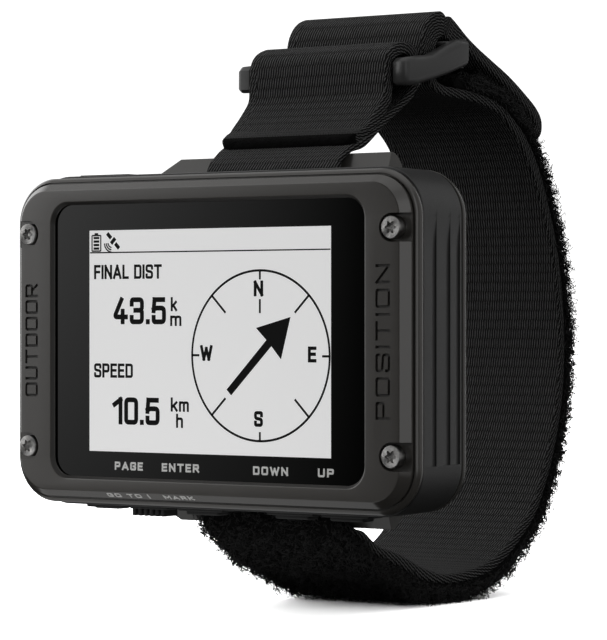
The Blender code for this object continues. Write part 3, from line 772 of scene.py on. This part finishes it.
def chamfer_labels():
    """Small print that lies on the chamfer under the window."""
    works = []
    for text, x0, x1 in CHAMFER_LABELS:
        works += letters(text, x0, x1, -0.5, 0.5, 0.24, -0.03, 0.02)
    work = merged(works)
    top, foot = [Vector((BEZEL[row][3], -BEZEL[row][1])) for row in (CHAMFER_TOP, CHAMFER_FOOT)]
    run = (top - foot).normalized()
    out = Vector((-abs(run.y), -abs(run.x)))
    middle = (top + foot) / 2
    for vertex in work.verts:
        local = (vertex.co - CASE_ORIGIN) / MM
        spot = middle + run * (local.z * 0.95) - out * (local.y + 0.005)
        vertex.co = at(local.x, spot.x, spot.y)
    assign(finish_mesh("facet_print", work, "facet ink"), "case", "display_grey")


# -------- housing and rear frame

HOUSING_FRONT, HOUSING_BACK = 1.9, 14.75
LOUVRE_EDGES = (2.3, 6.6, 11.2, 14.5)
LOUVRE_LAND = 0.45
LOUVRE_DEPTH = 0.27
LOUVRE_FOOT, LOUVRE_FADE, LOUVRE_TOP, FADE_STEPS = -17.8, 13.0, 18.6, 14
HOUSING_HALF_X, HOUSING_HALF_Z, HOUSING_CORNER = 36.15, 25.1, 7.0
HOUSING_TAPER = 1.8  # how much narrower each side is at the back
CHANNEL_HALF, CHANNEL_Y = 13.5, 14.0  # the strap's channel across the case
HOUSING_HOLLOW = ((33.8, 22.8, 5.0, 1.0), (32.4, 22.8, 5.0, 13.3))
# Openings as (low corner, high corner): strap channel, battery door, the socket cap's recess and its way in.
HOUSING_CUTS = (
    ((-CHANNEL_HALF, CHANNEL_Y, -30), (CHANNEL_HALF, 20, 30)),
    ((-40, 3.6, -13.1), (-32, 12.8, 13.1)),
    ((-28.5, 3.3, 23.95), (-18.5, 10.7, 27)),
    ((-27.7, 4.1, 20), (-19.3, 7.7, 25)),
)


def louvre_depth(y, z):
    """How far the housing's side is cut in: a sawtooth, hard at its foot and fading out at its top."""
    if z < LOUVRE_FOOT or z > LOUVRE_TOP:
        return 0.0
    fade = 1.0
    if z > LOUVRE_FADE:
        t = (LOUVRE_TOP - z) / (LOUVRE_TOP - LOUVRE_FADE)
        fade = t * t * (3 - 2 * t)
    for start, end in zip(LOUVRE_EDGES, LOUVRE_EDGES[1:]):
        end -= LOUVRE_LAND
        if start < y <= end:
            return LOUVRE_DEPTH * fade * (y - start) / (end - start)
    return 0.0


def housing_outline(half_x, half_z, radius, steps=16):
    """A rounded rectangle whose upright sides carry extra points for the louvres."""
    corners = rounded_rectangle(half_x, half_z, radius, steps)
    levels = [LOUVRE_TOP - (LOUVRE_TOP - LOUVRE_FADE) * step / FADE_STEPS for step in range(FADE_STEPS + 1)]
    levels += [0.0, LOUVRE_FOOT + 0.01, LOUVRE_FOOT - 0.01]
    per_corner = steps + 1
    upper, lower = corners[: 2 * per_corner], corners[2 * per_corner :]
    left = [(-half_x, z) for z in levels if abs(z) < half_z - radius]
    right = [(half_x, z) for z in reversed(levels) if abs(z) < half_z - radius]
    return [*upper, *left, *lower, *right]


def rear_housing():
    """The tub with its louvres and its openings for the strap, the door, the socket and the keys."""
    stations = [(HOUSING_FRONT, 0.2), (HOUSING_FRONT + 0.06, 0.06), (HOUSING_FRONT + 0.2, 0.0)]
    for start, end in zip(LOUVRE_EDGES, LOUVRE_EDGES[1:]):
        end -= LOUVRE_LAND
        stations += [(start, 0.0), (start + 1.4, 0.0), (end - 0.9, 0.0), (end, 0.0), (end + 0.02, 0.0)]
    stations += [(HOUSING_BACK - 0.25, 0.0), (HOUSING_BACK - 0.07, 0.07), (HOUSING_BACK, 0.25)]
    rings = []
    for y, inset in stations:
        half_x = HOUSING_HALF_X - HOUSING_TAPER * (y - HOUSING_FRONT) / (HOUSING_BACK - HOUSING_FRONT) - inset
        ring = []
        for x, z in housing_outline(half_x, HOUSING_HALF_Z - inset, HOUSING_CORNER - inset):
            cut = louvre_depth(y, z) if abs(x) > half_x - 1e-6 else 0.0
            ring.append(at(x - math.copysign(cut, x), y, z))
        rings.append(ring)
    made = finish_mesh("housing_shell", shell(rings), "housing")
    boolean(made, lofted(HOUSING_HOLLOW))
    for low, high in HOUSING_CUTS:
        boolean(made, bar(low, high))
    for _, x, half, _, _ in KEYS:
        boolean(made, bar((x - half - KEY_GAP, 2.8, -27), (x + half + KEY_GAP, 7.2, -21)))
    flat_faced(made, 24)
    assign(made, "case", "black_grey_moulding", "rear_housing")


LUG_HALF, LUG_FOOT, LUG_TOP, LUG_FRONT = 19.8, 25.35, 28.1, 16.4
LUG_DRAFT, LUG_SHOULDER = 0.2, 1.35  # how far the lug's sides spread for each millimetre below its top
# A lug's cross-section (Y, Z), and the back frame's stations: half width, half height, corner, depth.
LUG = (
    (16.3, 21.0), (16.3, 25.35), (18.0, 28.1), (18.5, 28.1),
    (19.4, 27.6), (20.1, 26.6), (20.4, 25.35), (20.4, 21.0),
)
FRAME = (
    (34.1, 24.8, 6.75, 14.95),
    (34.38, 25.1, 7.0, 15.1),
    (34.38, 25.1, 7.0, 15.5),
    (34.0, 24.8, 6.65, 16.5),
    (32.5, 24.0, 5.9, 18.7),
    (31.4, 23.0, 5.2, 20.2),
    (31.1, 22.7, 4.9, 20.42),
    (30.7, 22.3, 4.6, 20.5),
)


def rear_frame():
    """The back plate with a strap lug above and below it."""
    made = finish_mesh("back_shell", lofted(FRAME, 18), "frame")
    for level in (1, -1):
        rings = []
        for side in (-1, 1):
            ring = []
            for y, z in LUG:
                flare = LUG_SHOULDER if side < 0 and y <= LUG_FRONT else LUG_DRAFT
                ring.append(at(side * (LUG_HALF + flare * (LUG_TOP - max(z, LUG_FOOT))), y, level * z))
            rings.append(ring)
        boolean(made, shell(rings), "UNION")
    boolean(made, bar((-CHANNEL_HALF, CHANNEL_Y, -30), (CHANNEL_HALF, 16.25, 30)))
    soften(made, 0.2, 3, 28)
    assign(made, "case", "warm_grey_moulding", "rear_frame")


# -------- keys

# Each key: name, place across the case, half width, height of its tip, number of teeth.
KEYS = (
    ("power", -23.0, 3.6, -25.75, 0),
    ("page", -14.5, 3.6, -26.6, 6),
    ("enter", -4.7, 4.2, -26.1, 0),
    ("down", 11.85, 4.2, -26.1, 0),
    ("up", 21.7, 4.2, -26.1, 0),
)


KEY_Y, KEY_HALF_DEPTH = 5.0, 1.9
KEY_GAP = 0.3
PAD_FOOT, PAD_TOP, TIP_TOP = -25.55, -22.0, -25.0
TOOTH_SHARE = 0.62  # how much of their pitch the teeth fill


def keys():
    """Rubber keys, each a flat pad with a raised tip or a row of teeth."""
    for name, x, half, tip, teeth in KEYS:
        low, high = KEY_Y - KEY_HALF_DEPTH, KEY_Y + KEY_HALF_DEPTH
        works = [bar((x - half, low, PAD_FOOT), (x + half, high, PAD_TOP), 0.25)]
        if teeth:
            pitch = 2 * (half - 0.3) / teeth
            for index in range(teeth):
                start = x - half + 0.3 + index * pitch
                corners = (start, KEY_Y - 1.7, tip), (start + TOOTH_SHARE * pitch, KEY_Y + 1.7, TIP_TOP)
                works.append(bar(*corners, 0.22))
        else:
            corners = (x - half + 1.2, KEY_Y - 1.4, tip), (x + half - 1.2, KEY_Y + 1.4, TIP_TOP)
            works.append(bar(*corners, 0.35, 4))
        made = finish_mesh(f"{name}_key_cap", merged(works), "key")
        assign(made, f"{name}_button", "key_rubber", f"{name}_key")


# -------- strap

# The middle line of the strap in the case's frame: (Y, Z, thickness) in millimetres.
BAND = (
    (20.8, 30.8, 1.0), (22.6, 32.3, 1.5), (25.2, 34.5, 1.9), (27.2, 37.0, 1.9),
    (27.5, 40.0, 1.9), (28.0, 43.1, 1.9), (30.3, 44.6, 1.9), (33.0, 44.75, 1.9),
    (35.1, 43.3, 1.7), (35.5, 40.5, 1.5), (33.9, 38.1, 1.35), (30.9, 36.05, 1.2),
    (28.2, 34.5, 1.2), (25.4, 32.75, 1.2), (22.3, 30.65, 1.2), (20.4, 29.5, 1.2),
    (18.4, 28.8, 0.95), (16.9, 27.9, 0.9), (15.6, 26.8, 0.9), (15.05, 25.4, 1.1),
    (15.2, 23.8, 1.3), (15.25, 12.0, 1.4), (15.25, 0.0, 1.4), (15.25, -12.0, 1.4),
    (15.2, -24.2, 1.2), (15.3, -26.2, 0.95), (16.5, -27.8, 0.95), (18.6, -28.75, 0.95),
    (20.5, -29.35, 1.2), (22.5, -30.75, 1.4), (24.8, -32.05, 1.5), (30.2, -33.7, 1.8),
    (36.2, -36.0, 1.8), (42.0, -37.3, 1.5), (46.5, -37.5, 1.5), (51.0, -37.2, 1.5),
    (56.8, -36.2, 1.5), (61.6, -34.1, 1.5), (65.6, -31.4, 1.5), (69.7, -27.9, 1.5),
    (73.3, -22.2, 1.5), (76.0, -15.8, 1.6), (77.85, -9.0, 1.5), (78.45, -1.5, 1.5),
    (77.85, 6.5, 1.5), (76.2, 14.2, 1.7), (73.3, 21.5, 2.0), (70.9, 26.1, 2.2),
    (68.3, 29.9, 2.2), (65.6, 32.8, 2.0), (62.7, 34.9, 1.7), (59.9, 36.6, 1.5),
    (56.0, 37.75, 1.5), (51.0, 38.5, 1.5), (45.5, 38.8, 1.5), (42.4, 39.05, 1.5),
    (39.8, 40.2, 1.6), (38.6, 42.9, 2.6), (38.5, 45.6, 3.8), (39.3, 47.7, 4.0),
    (41.0, 49.0, 4.0), (43.0, 49.2, 4.0), (45.9, 48.1, 3.4), (49.2, 46.95, 1.9),
    (52.9, 45.15, 1.9), (56.4, 43.7, 1.9), (62.25, 41.2, 1.9), (67.6, 38.3, 1.9),
    (69.7, 36.9, 2.0), (70.9, 35.5, 2.1), (70.9, 34.0, 2.1), (70.0, 32.7, 2.0),
)
FACING_FIRST, TAIL_FIRST = 24, 61  # the points of BAND where the loop facing and the free end start
# The loop facing's thickness at the band's points from the case's foot to the ring.
FACING = (
    0.3, 0.9, 1.5, 1.8, 2.0, 2.2, 2.4, 2.4, 2.7, 2.75, 2.8, 2.7, 2.5, 2.2, 2.1, 2.1,
    2.1, 2.1, 2.1, 2.0, 1.8, 1.6, 1.5, 1.5, 1.5, 1.8, 2.0, 2.0, 2.0, 1.8, 1.2,
)
FACING_GAP = 0.12  # between the strap and its facing
CASE_HALF = 12.35  # the strap's half width where it passes through the case
END_CORNER = 1.6  # the radius of the corners at a cut end
WEAVE_ROW, RIB = 1.0, 0.05  # the pitch and the height of the ribs across the strap
STATION = 0.35  # the distance between the rows of points along the strap
SPLINE_STEPS = 24
EDGE_ROUND, SECTION_FACES = 0.42, 20
# The faces round a section that lie on its wrist side, past the outer side and one rounded edge.
INNER_FACES = range(SECTION_FACES + 7, 2 * SECTION_FACES + 6)
END_TAPER = (0.55, 0.8, 0.93)  # how thick the last rows are, as a share


def spline(points, spacing):
    """A Catmull-Rom curve through the points, with rows a fixed spacing apart."""
    ends = [points[0], *points, points[-1]]
    fine = []
    for index in range(len(points) - 1):
        before, start, end, after = ends[index : index + 4]
        for step in range(SPLINE_STEPS):
            t = step / SPLINE_STEPS
            row = []
            for a, b, c, d in zip(before, start, end, after):
                slope = (c - a) * t + (2 * a - 5 * b + 4 * c - d) * t * t + (3 * b - a - 3 * c + d) * t**3
                row.append(b + slope / 2)
            fine.append(row)
    fine.append(list(points[-1]))
    lengths = [0.0]
    for a, b in zip(fine, fine[1:]):
        lengths.append(lengths[-1] + math.dist(a[:2], b[:2]))
    count = max(int(lengths[-1] / spacing), 2)
    rows = []
    place = 0
    for index in range(count + 1):
        target = lengths[-1] * index / count
        while place < len(fine) - 2 and lengths[place + 1] < target:
            place += 1
        share = (target - lengths[place]) / max(lengths[place + 1] - lengths[place], 1e-9)
        rows.append([a + (b - a) * share for a, b in zip(fine[place], fine[place + 1])] + [target])
    return rows


def outward(rows, index):
    """The unit normal on the wearer's outer side of a (Y, Z) curve."""
    before, after = rows[max(index - 1, 0)], rows[min(index + 1, len(rows) - 1)]
    along = Vector((after[0] - before[0], after[1] - before[1])).normalized()
    return Vector((along.y, -along.x))


def band_section(half, thick):
    """Points round a strap's cross-section: (across, out), with softened corners."""
    radius = min(EDGE_ROUND, thick / 2 - 0.02)
    flat, rise = half - radius, thick / 2 - radius
    corners = ((flat, rise, 90), (flat, -rise, 0), (-flat, -rise, -90), (-flat, rise, 180))
    faces = SECTION_FACES
    points = [(-half + radius + 2 * flat * index / faces, thick / 2) for index in range(faces)]
    for index, (across, out, start) in enumerate(corners):
        for step in range(4):
            angle = math.radians(start - 30 * step)
            points.append((across + radius * math.cos(angle), out + radius * math.sin(angle)))
        if index == 1:
            points += [(flat - 2 * flat * step / faces, -thick / 2) for step in range(1, faces)]
    return points[:-1]


def half_at(y, z):
    """The strap is drawn in a little where it passes through the case and over its upper lug."""
    t = 1.0 if z < -24.0 else min(max((y - 16.5) / 5.5, 0.0), 1.0)
    return CASE_HALF + (STRAP_HALF - CASE_HALF) * t * t * (3 - 2 * t)


def round_corner(length, radius):
    """How far a strap's edge stands in, this far from an end whose corners have this radius."""
    share = min(length / radius, 1.0)
    return radius * (1 - math.sqrt(1 - (1 - share) ** 2))


def band(name, rows, key, inset=0.0, offset=None, ripple=0.0, end=None, inside=None):
    """A strap along rows (Y, Z, thickness, length), with UV in millimetres and rows of ribs across it.

    end says which of its ends has rounded corners, 0 or -1, and inside is the material next to the wrist.
    """
    rings = []
    marks = []
    for index, row in enumerate(rows):
        normal = outward(rows, index)
        from_end = min(index, len(rows) - 1 - index)
        thick = row[2] * (END_TAPER[from_end] if from_end < len(END_TAPER) else 1.0)
        middle = Vector(row[:2])
        if offset:
            middle = middle + normal * offset(row)
        along = row[-1]
        rib = ripple * (abs(math.sin(math.pi * along / WEAVE_ROW)) - 0.6)
        corner = 0.0 if end is None else round_corner(abs(along - rows[end][-1]), END_CORNER)
        ring = []
        around = 0.0
        last = None
        for across, out in band_section(half_at(*row[:2]) - inset - corner, thick):
            if last is not None:
                around += math.dist(last, (across, out))
            last = (across, out)
            reach = out + math.copysign(rib, out) * min(1.0, abs(out) / (thick / 2))
            spot = middle + normal * reach
            ring.append(at(across, spot.x, spot.y))
            marks.append((around, along))
        rings.append(ring)
    work = bmesh.new()
    uv = work.loops.layers.uv.new("Weave")
    vertices = [vertex for ring in skin(work, rings) for vertex in ring]
    where = dict(zip(vertices, marks))
    girth = marks[len(rings[0]) - 1][0] + marks[1][0]
    for index, face in enumerate(work.faces):
        values = [where[loop.vert][0] for loop in face.loops]
        wraps = max(values) - min(values) > girth / 2
        for loop, value in zip(face.loops, values):
            across = value + girth if wraps and value < girth / 2 else value
            loop[uv].uv = (across, where[loop.vert][1])
        if inside:
            face.material_index = int(index % len(rings[0]) in INNER_FACES)
    made = finish_mesh(name, work, key, 60)
    if inside:
        made.data.materials.append(MATERIALS[inside])
    return made


def strap():
    """The webbing in two pieces: the band, and the free end that peels off it."""
    whole = spline(BAND, STATION)
    cut_at = BAND[TAIL_FIRST]
    split = min(range(len(whole) // 2, len(whole)), key=lambda i: math.dist(whole[i][:2], cut_at[:2]))
    made = band("strap_band", whole[: split + 1], "strap", ripple=RIB, end=0, inside="strap inside")
    assign(made, "case", "black_webbing", "strap_webbing")
    tail = band("strap_free_end", whole[split:], "strap", ripple=RIB, end=-1)
    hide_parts("strap_tail")
    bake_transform(tail)


def facing():
    """The loop facing's backing. Returns its rows: Y, Z, its thickness, the strap's thickness, length."""
    points = [(y, z, thick, under) for (y, z, under), thick in zip(BAND[FACING_FIRST:], FACING)]
    rows = spline(points, STATION * 1.6)
    made = band("loop_backing", rows, "facing", 0.1, lambda row: row[3] / 2 + FACING_GAP + row[2] / 2 - 0.15)
    assign(made, "case", "black_loop_pile", "strap_loop_facing")
    return rows


# The loops of the pile, in millimetres: reach from the backing, width and the fibre's half thickness.
LOOP_REACH, LOOP_WIDTH, LOOP_WIRE = (0.35, 0.95), (0.6, 1.5), 0.06
STRAY_SHARE, STRAY_REACH, STRAY_WIRE = 0.22, (1.0, 1.7), 0.05
LOOP_SWEEP = (3.4, 5.6)  # how far a loop curls, in radians
EDGE_SHARE = 0.3  # the share of the loops that stand on the facing's two edges
PILE_PIECES, PILE_LOOPS, PILE_LOOPS_QUICK = 5, 5100, 3000
PILE_CLEAR = 7  # the rows left bare next to the ring
CURL_STEPS = 6


def curl(points, faces, base, out, side, reach, width, wire, sweep):
    """One small curled fibre: a three-sided tube that leaves the backing and bends back to it."""
    steps = CURL_STEPS
    cross = side.cross(out).normalized()
    path = []
    for step in range(steps + 1):
        angle = sweep * step / steps
        across = width * (1 - math.cos(angle)) / 2
        drift = 0.25 * width * math.sin(angle * 0.7)
        path.append(base + side * across + out * (reach * math.sin(min(angle, 2.6) * 0.6)) + cross * drift)
    first = len(points)
    for index, spot in enumerate(path):
        along = (path[min(index + 1, steps)] - path[max(index - 1, 0)]).normalized()
        second = along.cross(cross).normalized()
        for corner in range(3):
            angle = 2 * math.pi * corner / 3
            points.append(spot + (cross * math.cos(angle) + second * math.sin(angle)) * wire)
    for index in range(steps):
        low, high = first + 3 * index, first + 3 * index + 3
        for corner in range(3):
            after = (corner + 1) % 3
            faces.append((low + corner, low + after, high + after, high + corner))
    faces.append((first, first + 1, first + 2))
    last = first + 3 * steps
    faces.append((last + 2, last + 1, last))


def unit(low=-1.0, high=1.0):
    return Vector((random.uniform(low, high), random.uniform(low, high), random.uniform(low, high)))


def pile(rows):
    """Curled fibres spread over the facing's outer side and its two edges, in pieces of a size to export."""
    loops = PILE_LOOPS
    for part in range(PILE_PIECES):
        points, faces = [], []
        low = len(rows) * part // PILE_PIECES
        high = len(rows) * (part + 1) // PILE_PIECES - 1
        for _ in range(loops):
            index = random.randint(max(low, 1), min(high, len(rows) - PILE_CLEAR))
            row = rows[index]
            normal = outward(rows, index)
            out = Vector((0.0, normal.x, normal.y))
            height = row[3] / 2 + FACING_GAP + row[2] - 0.35
            half = half_at(*row[:2])
            across = random.uniform(-1, 1) * (half - 0.2)
            if random.random() < EDGE_SHARE:
                across = math.copysign(half - 0.3, across)
                height -= random.uniform(-0.1, max(row[2] - 0.6, 0.1))
                out = (out * random.uniform(0.1, 1.2) + Vector((math.copysign(1, across), 0, 0))).normalized()
            spot = Vector(row[:2]) + normal * height
            out = (out + unit() * 0.45).normalized()
            side = unit()
            side = (side - out * side.dot(out)).normalized()
            stray = random.random() < STRAY_SHARE
            reach = random.uniform(*(STRAY_REACH if stray else LOOP_REACH)) * MM
            width = random.uniform(*LOOP_WIDTH) * MM
            wire = (STRAY_WIRE if stray else LOOP_WIRE) * MM
            sweep = random.uniform(*LOOP_SWEEP)
            curl(points, faces, at(across, spot.x, spot.y), out, side, reach, width, wire, sweep)
        mesh = bpy.data.meshes.new("pile")
        mesh.from_pydata(points, [], faces)
        mesh.shade_smooth()
        mesh.materials.append(MATERIALS["fibre"])
        assign(linked(f"loop_pile_{part}", mesh), "case", "black_loop_pile")


# The folded-under end of the flap that holds the ring: (Y, Z, thickness), and where the painted shade on its
# nose ends.
HEM = (
    (18.4, 29.4, 1.0), (18.6, 29.55, 1.8), (19.1, 29.85, 2.2),
    (20.8, 30.8, 2.2), (22.2, 31.7, 1.7), (23.4, 32.6, 1.2),
)
HEM_SHADE_END = 19.25


def hem():
    """The flap's folded-under end, which lies on the strap below it."""
    made = band("flap_hem", spline(HEM, STATION), "strap", 0.15, ripple=RIB, end=0)
    # Painted shade: the faces at the hem's nose get near-black cloth, which stands in for the shade under the
    # flap's end.
    made.data.materials.append(MATERIALS["hem"])
    shade_end = at(0, HEM_SHADE_END, 0).y
    for face in made.data.polygons:
        face.material_index = int(face.center.y < shade_end)
    assign(made, "case", "black_webbing")


def hook_patch():
    """The hook tape under the free end, from where it is clear of the ring."""
    tail = [row for row in spline(BAND[TAIL_FIRST:], STATION) if 55.0 < row[0] and row[1] > 36.0]
    rows = [[y, z, 0.5, under, along] for y, z, under, along in tail]
    made = band("hook_tape", rows, "hook", 1.5, lambda row: row[3] / 2 + 0.28)
    assign(made, "tail", "black_hook", "tail_hook_patch")


# -------- ring

# A side rail's outline (Y, Z), where its two sides stand across the case, and how it is rounded.
RAIL = (
    (27.5, 39.3), (28.2, 38.8), (31.0, 39.0), (36.0, 40.1), (41.7, 41.5),
    (46.4, 42.9), (47.0, 43.6), (47.0, 46.4), (46.4, 47.1), (43.7, 46.9),
    (40.5, 45.7), (36.0, 44.0), (31.5, 43.5), (28.2, 43.0), (27.5, 42.3),
)
RAIL_INNER, RAIL_OUTER = 13.35, 15.2
RAIL_EDGE, RAIL_STEPS = 1.0, 6
# The ring's bars: the lower one in the sewn loop, the upper one under the strap's fold.
RING_BARS = (((-15.0, 28.9, 39.2), (15.0, 33.0, 42.4)), ((-14.3, 41.6, 42.6), (14.3, 46.2, 46.5)))


def drawn_in(outline, inset):
    """The outline with each point moved in along the normal of its corner."""
    points = [Vector(point) for point in outline]
    moved = []
    for index, point in enumerate(points):
        before = (point - points[index - 1]).normalized()
        after = (points[(index + 1) % len(points)] - point).normalized()
        along = (before + after).normalized()
        moved.append(point + Vector((-along.y, along.x)) * inset)
    return moved


def rail(side):
    """A side rail that leans outwards to the front, with well rounded outer edges."""
    front, rear = RAIL[0][0], RAIL[7][0]
    rows = [(RAIL_INNER, RAIL_EDGE / 3), (RAIL_INNER + RAIL_EDGE / 3, 0.0)]
    for step in range(RAIL_STEPS + 1):
        angle = math.pi / 2 * step / RAIL_STEPS
        rows.append((RAIL_OUTER - RAIL_EDGE * (1 - math.sin(angle)), RAIL_EDGE * (1 - math.cos(angle))))
    rings = []
    for index, (reach, inset) in enumerate(rows):
        ring = []
        for y, z in drawn_in(RAIL, inset):
            splay = (rear - y) / (rear - front) if index > 1 else 0.0
            ring.append(at(side * (reach + splay), y, z))
        rings.append(ring)
    return shell(rings)


def ring():
    """The strap's plastic ring: two rounded side rails joined by two plain bars."""
    made = finish_mesh("strap_ring", rail(-1), "ring")
    boolean(made, rail(1), "UNION")
    for low, high in RING_BARS:
        boolean(made, bar(low, high), "UNION")
    made.data.shade_smooth()
    assign(made, "ring", "ring_black", "buckle_ring")


# -------- carried-over CAD nodes


# The CAD nodes that are seen as they are, by their material.
CARRIED_OVER = {
    "inner": ("battery_tray", "sounder"),
    "rubber": ("lens_gasket", "bezel_gasket", "keypad_seal", "door_seal", "usb_cap"),
    "metal": (
        "usb_socket", "shield_can", "battery_contact_upper", "battery_contact_lower", "contact_bridge",
        "door_hinge_pin", "power_switch", "page_switch", "enter_switch", "down_switch", "up_switch",
    ),
    # the display module also carries the display's painted glow
    "display": ("lcd_module",),
    "board": ("main_pcb",),
    "ceramic": ("satellite_antenna",),
    "sleeve": ("battery_upper", "battery_lower"),
}


def dress(name, key):
    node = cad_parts[name]
    node.data.materials.clear()
    node.data.materials.append(MATERIALS[key])
    return node


def carried_over():
    for name in ("battery_door", "door_latch"):
        node = dress(name, "housing")
        node.data.shade_smooth()
        node.modifiers.new("weld", "WELD").merge_threshold = 0.002 * MM
        soften(node, 0.1)
    for key, names in CARRIED_OVER.items():
        for name in names:
            dress(name, key)


# -------- studio

SENSOR, FOCAL_LENGTH = 36.0, 179.04375  # in millimetres
SHIFT_UP = -0.0046875
CAMERA_AT = at(285.07, -374.2, 3.54)
CAMERA_AZIMUTH = math.atan2(0.583, 0.8126)
FLOOR_TO_CAMERA, FLOOR_TO_LIGHT = 5.0, 0.1
FLOOR_HALF = 6.0


def studio():
    """The camera, the floor and the room. The floor is white to the camera and dark to everything else."""
    data = bpy.data.cameras.new("Camera")
    data.sensor_width = SENSOR
    data.lens = FOCAL_LENGTH
    data.shift_y = SHIFT_UP
    data.clip_start = 0.01
    data.clip_end = 20.0
    camera = linked("Camera", data)
    camera.location = CAMERA_AT
    camera.rotation_euler = (math.pi / 2, 0.0, CAMERA_AZIMUTH)
    bpy.context.scene.camera = camera

    n = new_material("studio floor")
    matt = n.add("ShaderNodeBsdfDiffuse")
    seen = n.add("ShaderNodeLightPath").outputs["Is Camera Ray"]
    n.link(n.mix(seen, grey(FLOOR_TO_LIGHT), grey(FLOOR_TO_CAMERA)), matt.inputs["Color"])
    n.tree.links.new(matt.outputs[0], n.tree.nodes["Material Output"].inputs["Surface"])
    work = bmesh.new()
    bmesh.ops.create_grid(work, x_segments=2, y_segments=2, size=FLOOR_HALF)
    floor = linked("floor", as_mesh("floor", work))
    floor.data.materials.append(n.owner)
    floor.visible_glossy = False

    bpy.context.scene.world = bpy.data.worlds.new("studio")
    paint_world(Nodes(bpy.context.scene.world))
    bpy.context.scene.view_settings.view_transform = "Standard"


# The room's soft boxes: brightness, then two turns between which each comes in, two between which it goes
# out, and the same for its height. Turns are in degrees from the reader's side to the left, heights sines.
ALWAYS, NEVER = (-999.0, -998.0), (998.0, 999.0)
SOFT_BOXES = {
    "left": (1.8, (34.4, 46.0), (110.0, 160.0), (-0.15, 0.06), (0.5, 0.8)),
    "near right": (0.85, (-78.0, -66.0), (-48.0, -36.0), (-0.35, 0.0), (0.55, 0.85)),
    "far right": (0.35, (-135.0, -122.0), (-92.0, -80.0), (-0.35, 0.0), (0.55, 0.85)),
    "behind": (0.22, (-170.0, -160.0), (-140.0, -130.0), (-0.35, 0.0), (0.55, 0.85)),
    "back": (0.8, ALWAYS, (-175.0, -165.0), (-0.35, 0.0), (0.55, 0.85)),
    "above": (0.62, ALWAYS, NEVER, (0.65, 0.95), (2.0, 3.0)),
    "room": (0.004, ALWAYS, NEVER, (-3.0, -2.0), (2.0, 3.0)),
}
BACKDROP = 1.2  # how bright the room looks to the camera itself
# Soft lamps near the case: power, place, the point each is aimed at, size, and whether it is seen in gloss.
LAMPS = {
    "front lamp": (0.15, (-150.0, -260.0, 100.0), (0.0, 0.0, 0.0), 0.12, False),
    "under lamp": (0.0076, (-20.0, -20.0, -41.0), (-20.0, -20.0, 0.0), 0.08, True),
    "side lamp": (0.055, (220.0, 10.0, 20.0), (36.0, 10.0, 0.0), 0.1, False),
}


def paint_world(n):
    """A dim room with its soft boxes, and an even white to the camera."""

    def step(value, low, high):
        inputs = {"Value": value, "From Min": low, "From Max": high}
        return n.add("ShaderNodeMapRange", inputs).outputs["Result"]

    def between(value, rise, fall):
        return n.math("SUBTRACT", step(value, *rise), step(value, *fall))

    x, y, z = n.split(n.add("ShaderNodeTexCoord").outputs["Generated"])
    turn = n.math("ARCTAN2", n.math("MULTIPLY", x, -1.0), n.math("MULTIPLY", y, -1.0))
    turn = n.math("MULTIPLY", turn, 180.0 / math.pi)
    total = 0.0
    for brightness, turn_rise, turn_fall, height_rise, height_fall in SOFT_BOXES.values():
        shape = n.math("MULTIPLY", between(turn, turn_rise, turn_fall), between(z, height_rise, height_fall))
        total = n.math("MULTIPLY_ADD", shape, brightness, total)
    seen = n.add("ShaderNodeLightPath").outputs["Is Camera Ray"]
    strength = n.math("MULTIPLY_ADD", seen, n.math("SUBTRACT", BACKDROP, total), total)
    background = n.tree.nodes["Background"]
    n.link((1.0, 1.0, 1.0), background.inputs["Color"])
    n.link(strength, background.inputs["Strength"])


def lamps():
    for name, (power, place, aim, size, reflected) in LAMPS.items():
        data = bpy.data.lights.new(name, "AREA")
        data.energy = power
        data.size = size
        lamp = linked(name, data)
        lamp.location = at(*place)
        lamp.rotation_euler = (at(*aim) - lamp.location).to_track_quat("-Z", "Y").to_euler()
        lamp.visible_glossy = reflected
        lamp.visible_camera = False


studio()
lamps()
bezel()
for screw_name, (screw_side, screw_level) in SCREWS.items():
    screw(screw_name, screw_side, screw_level)
window()
display_marks()
printed_labels()
chamfer_labels()
rear_housing()
rear_frame()
keys()
strap()
hem()
pile(facing())
hook_patch()
ring()
carried_over()
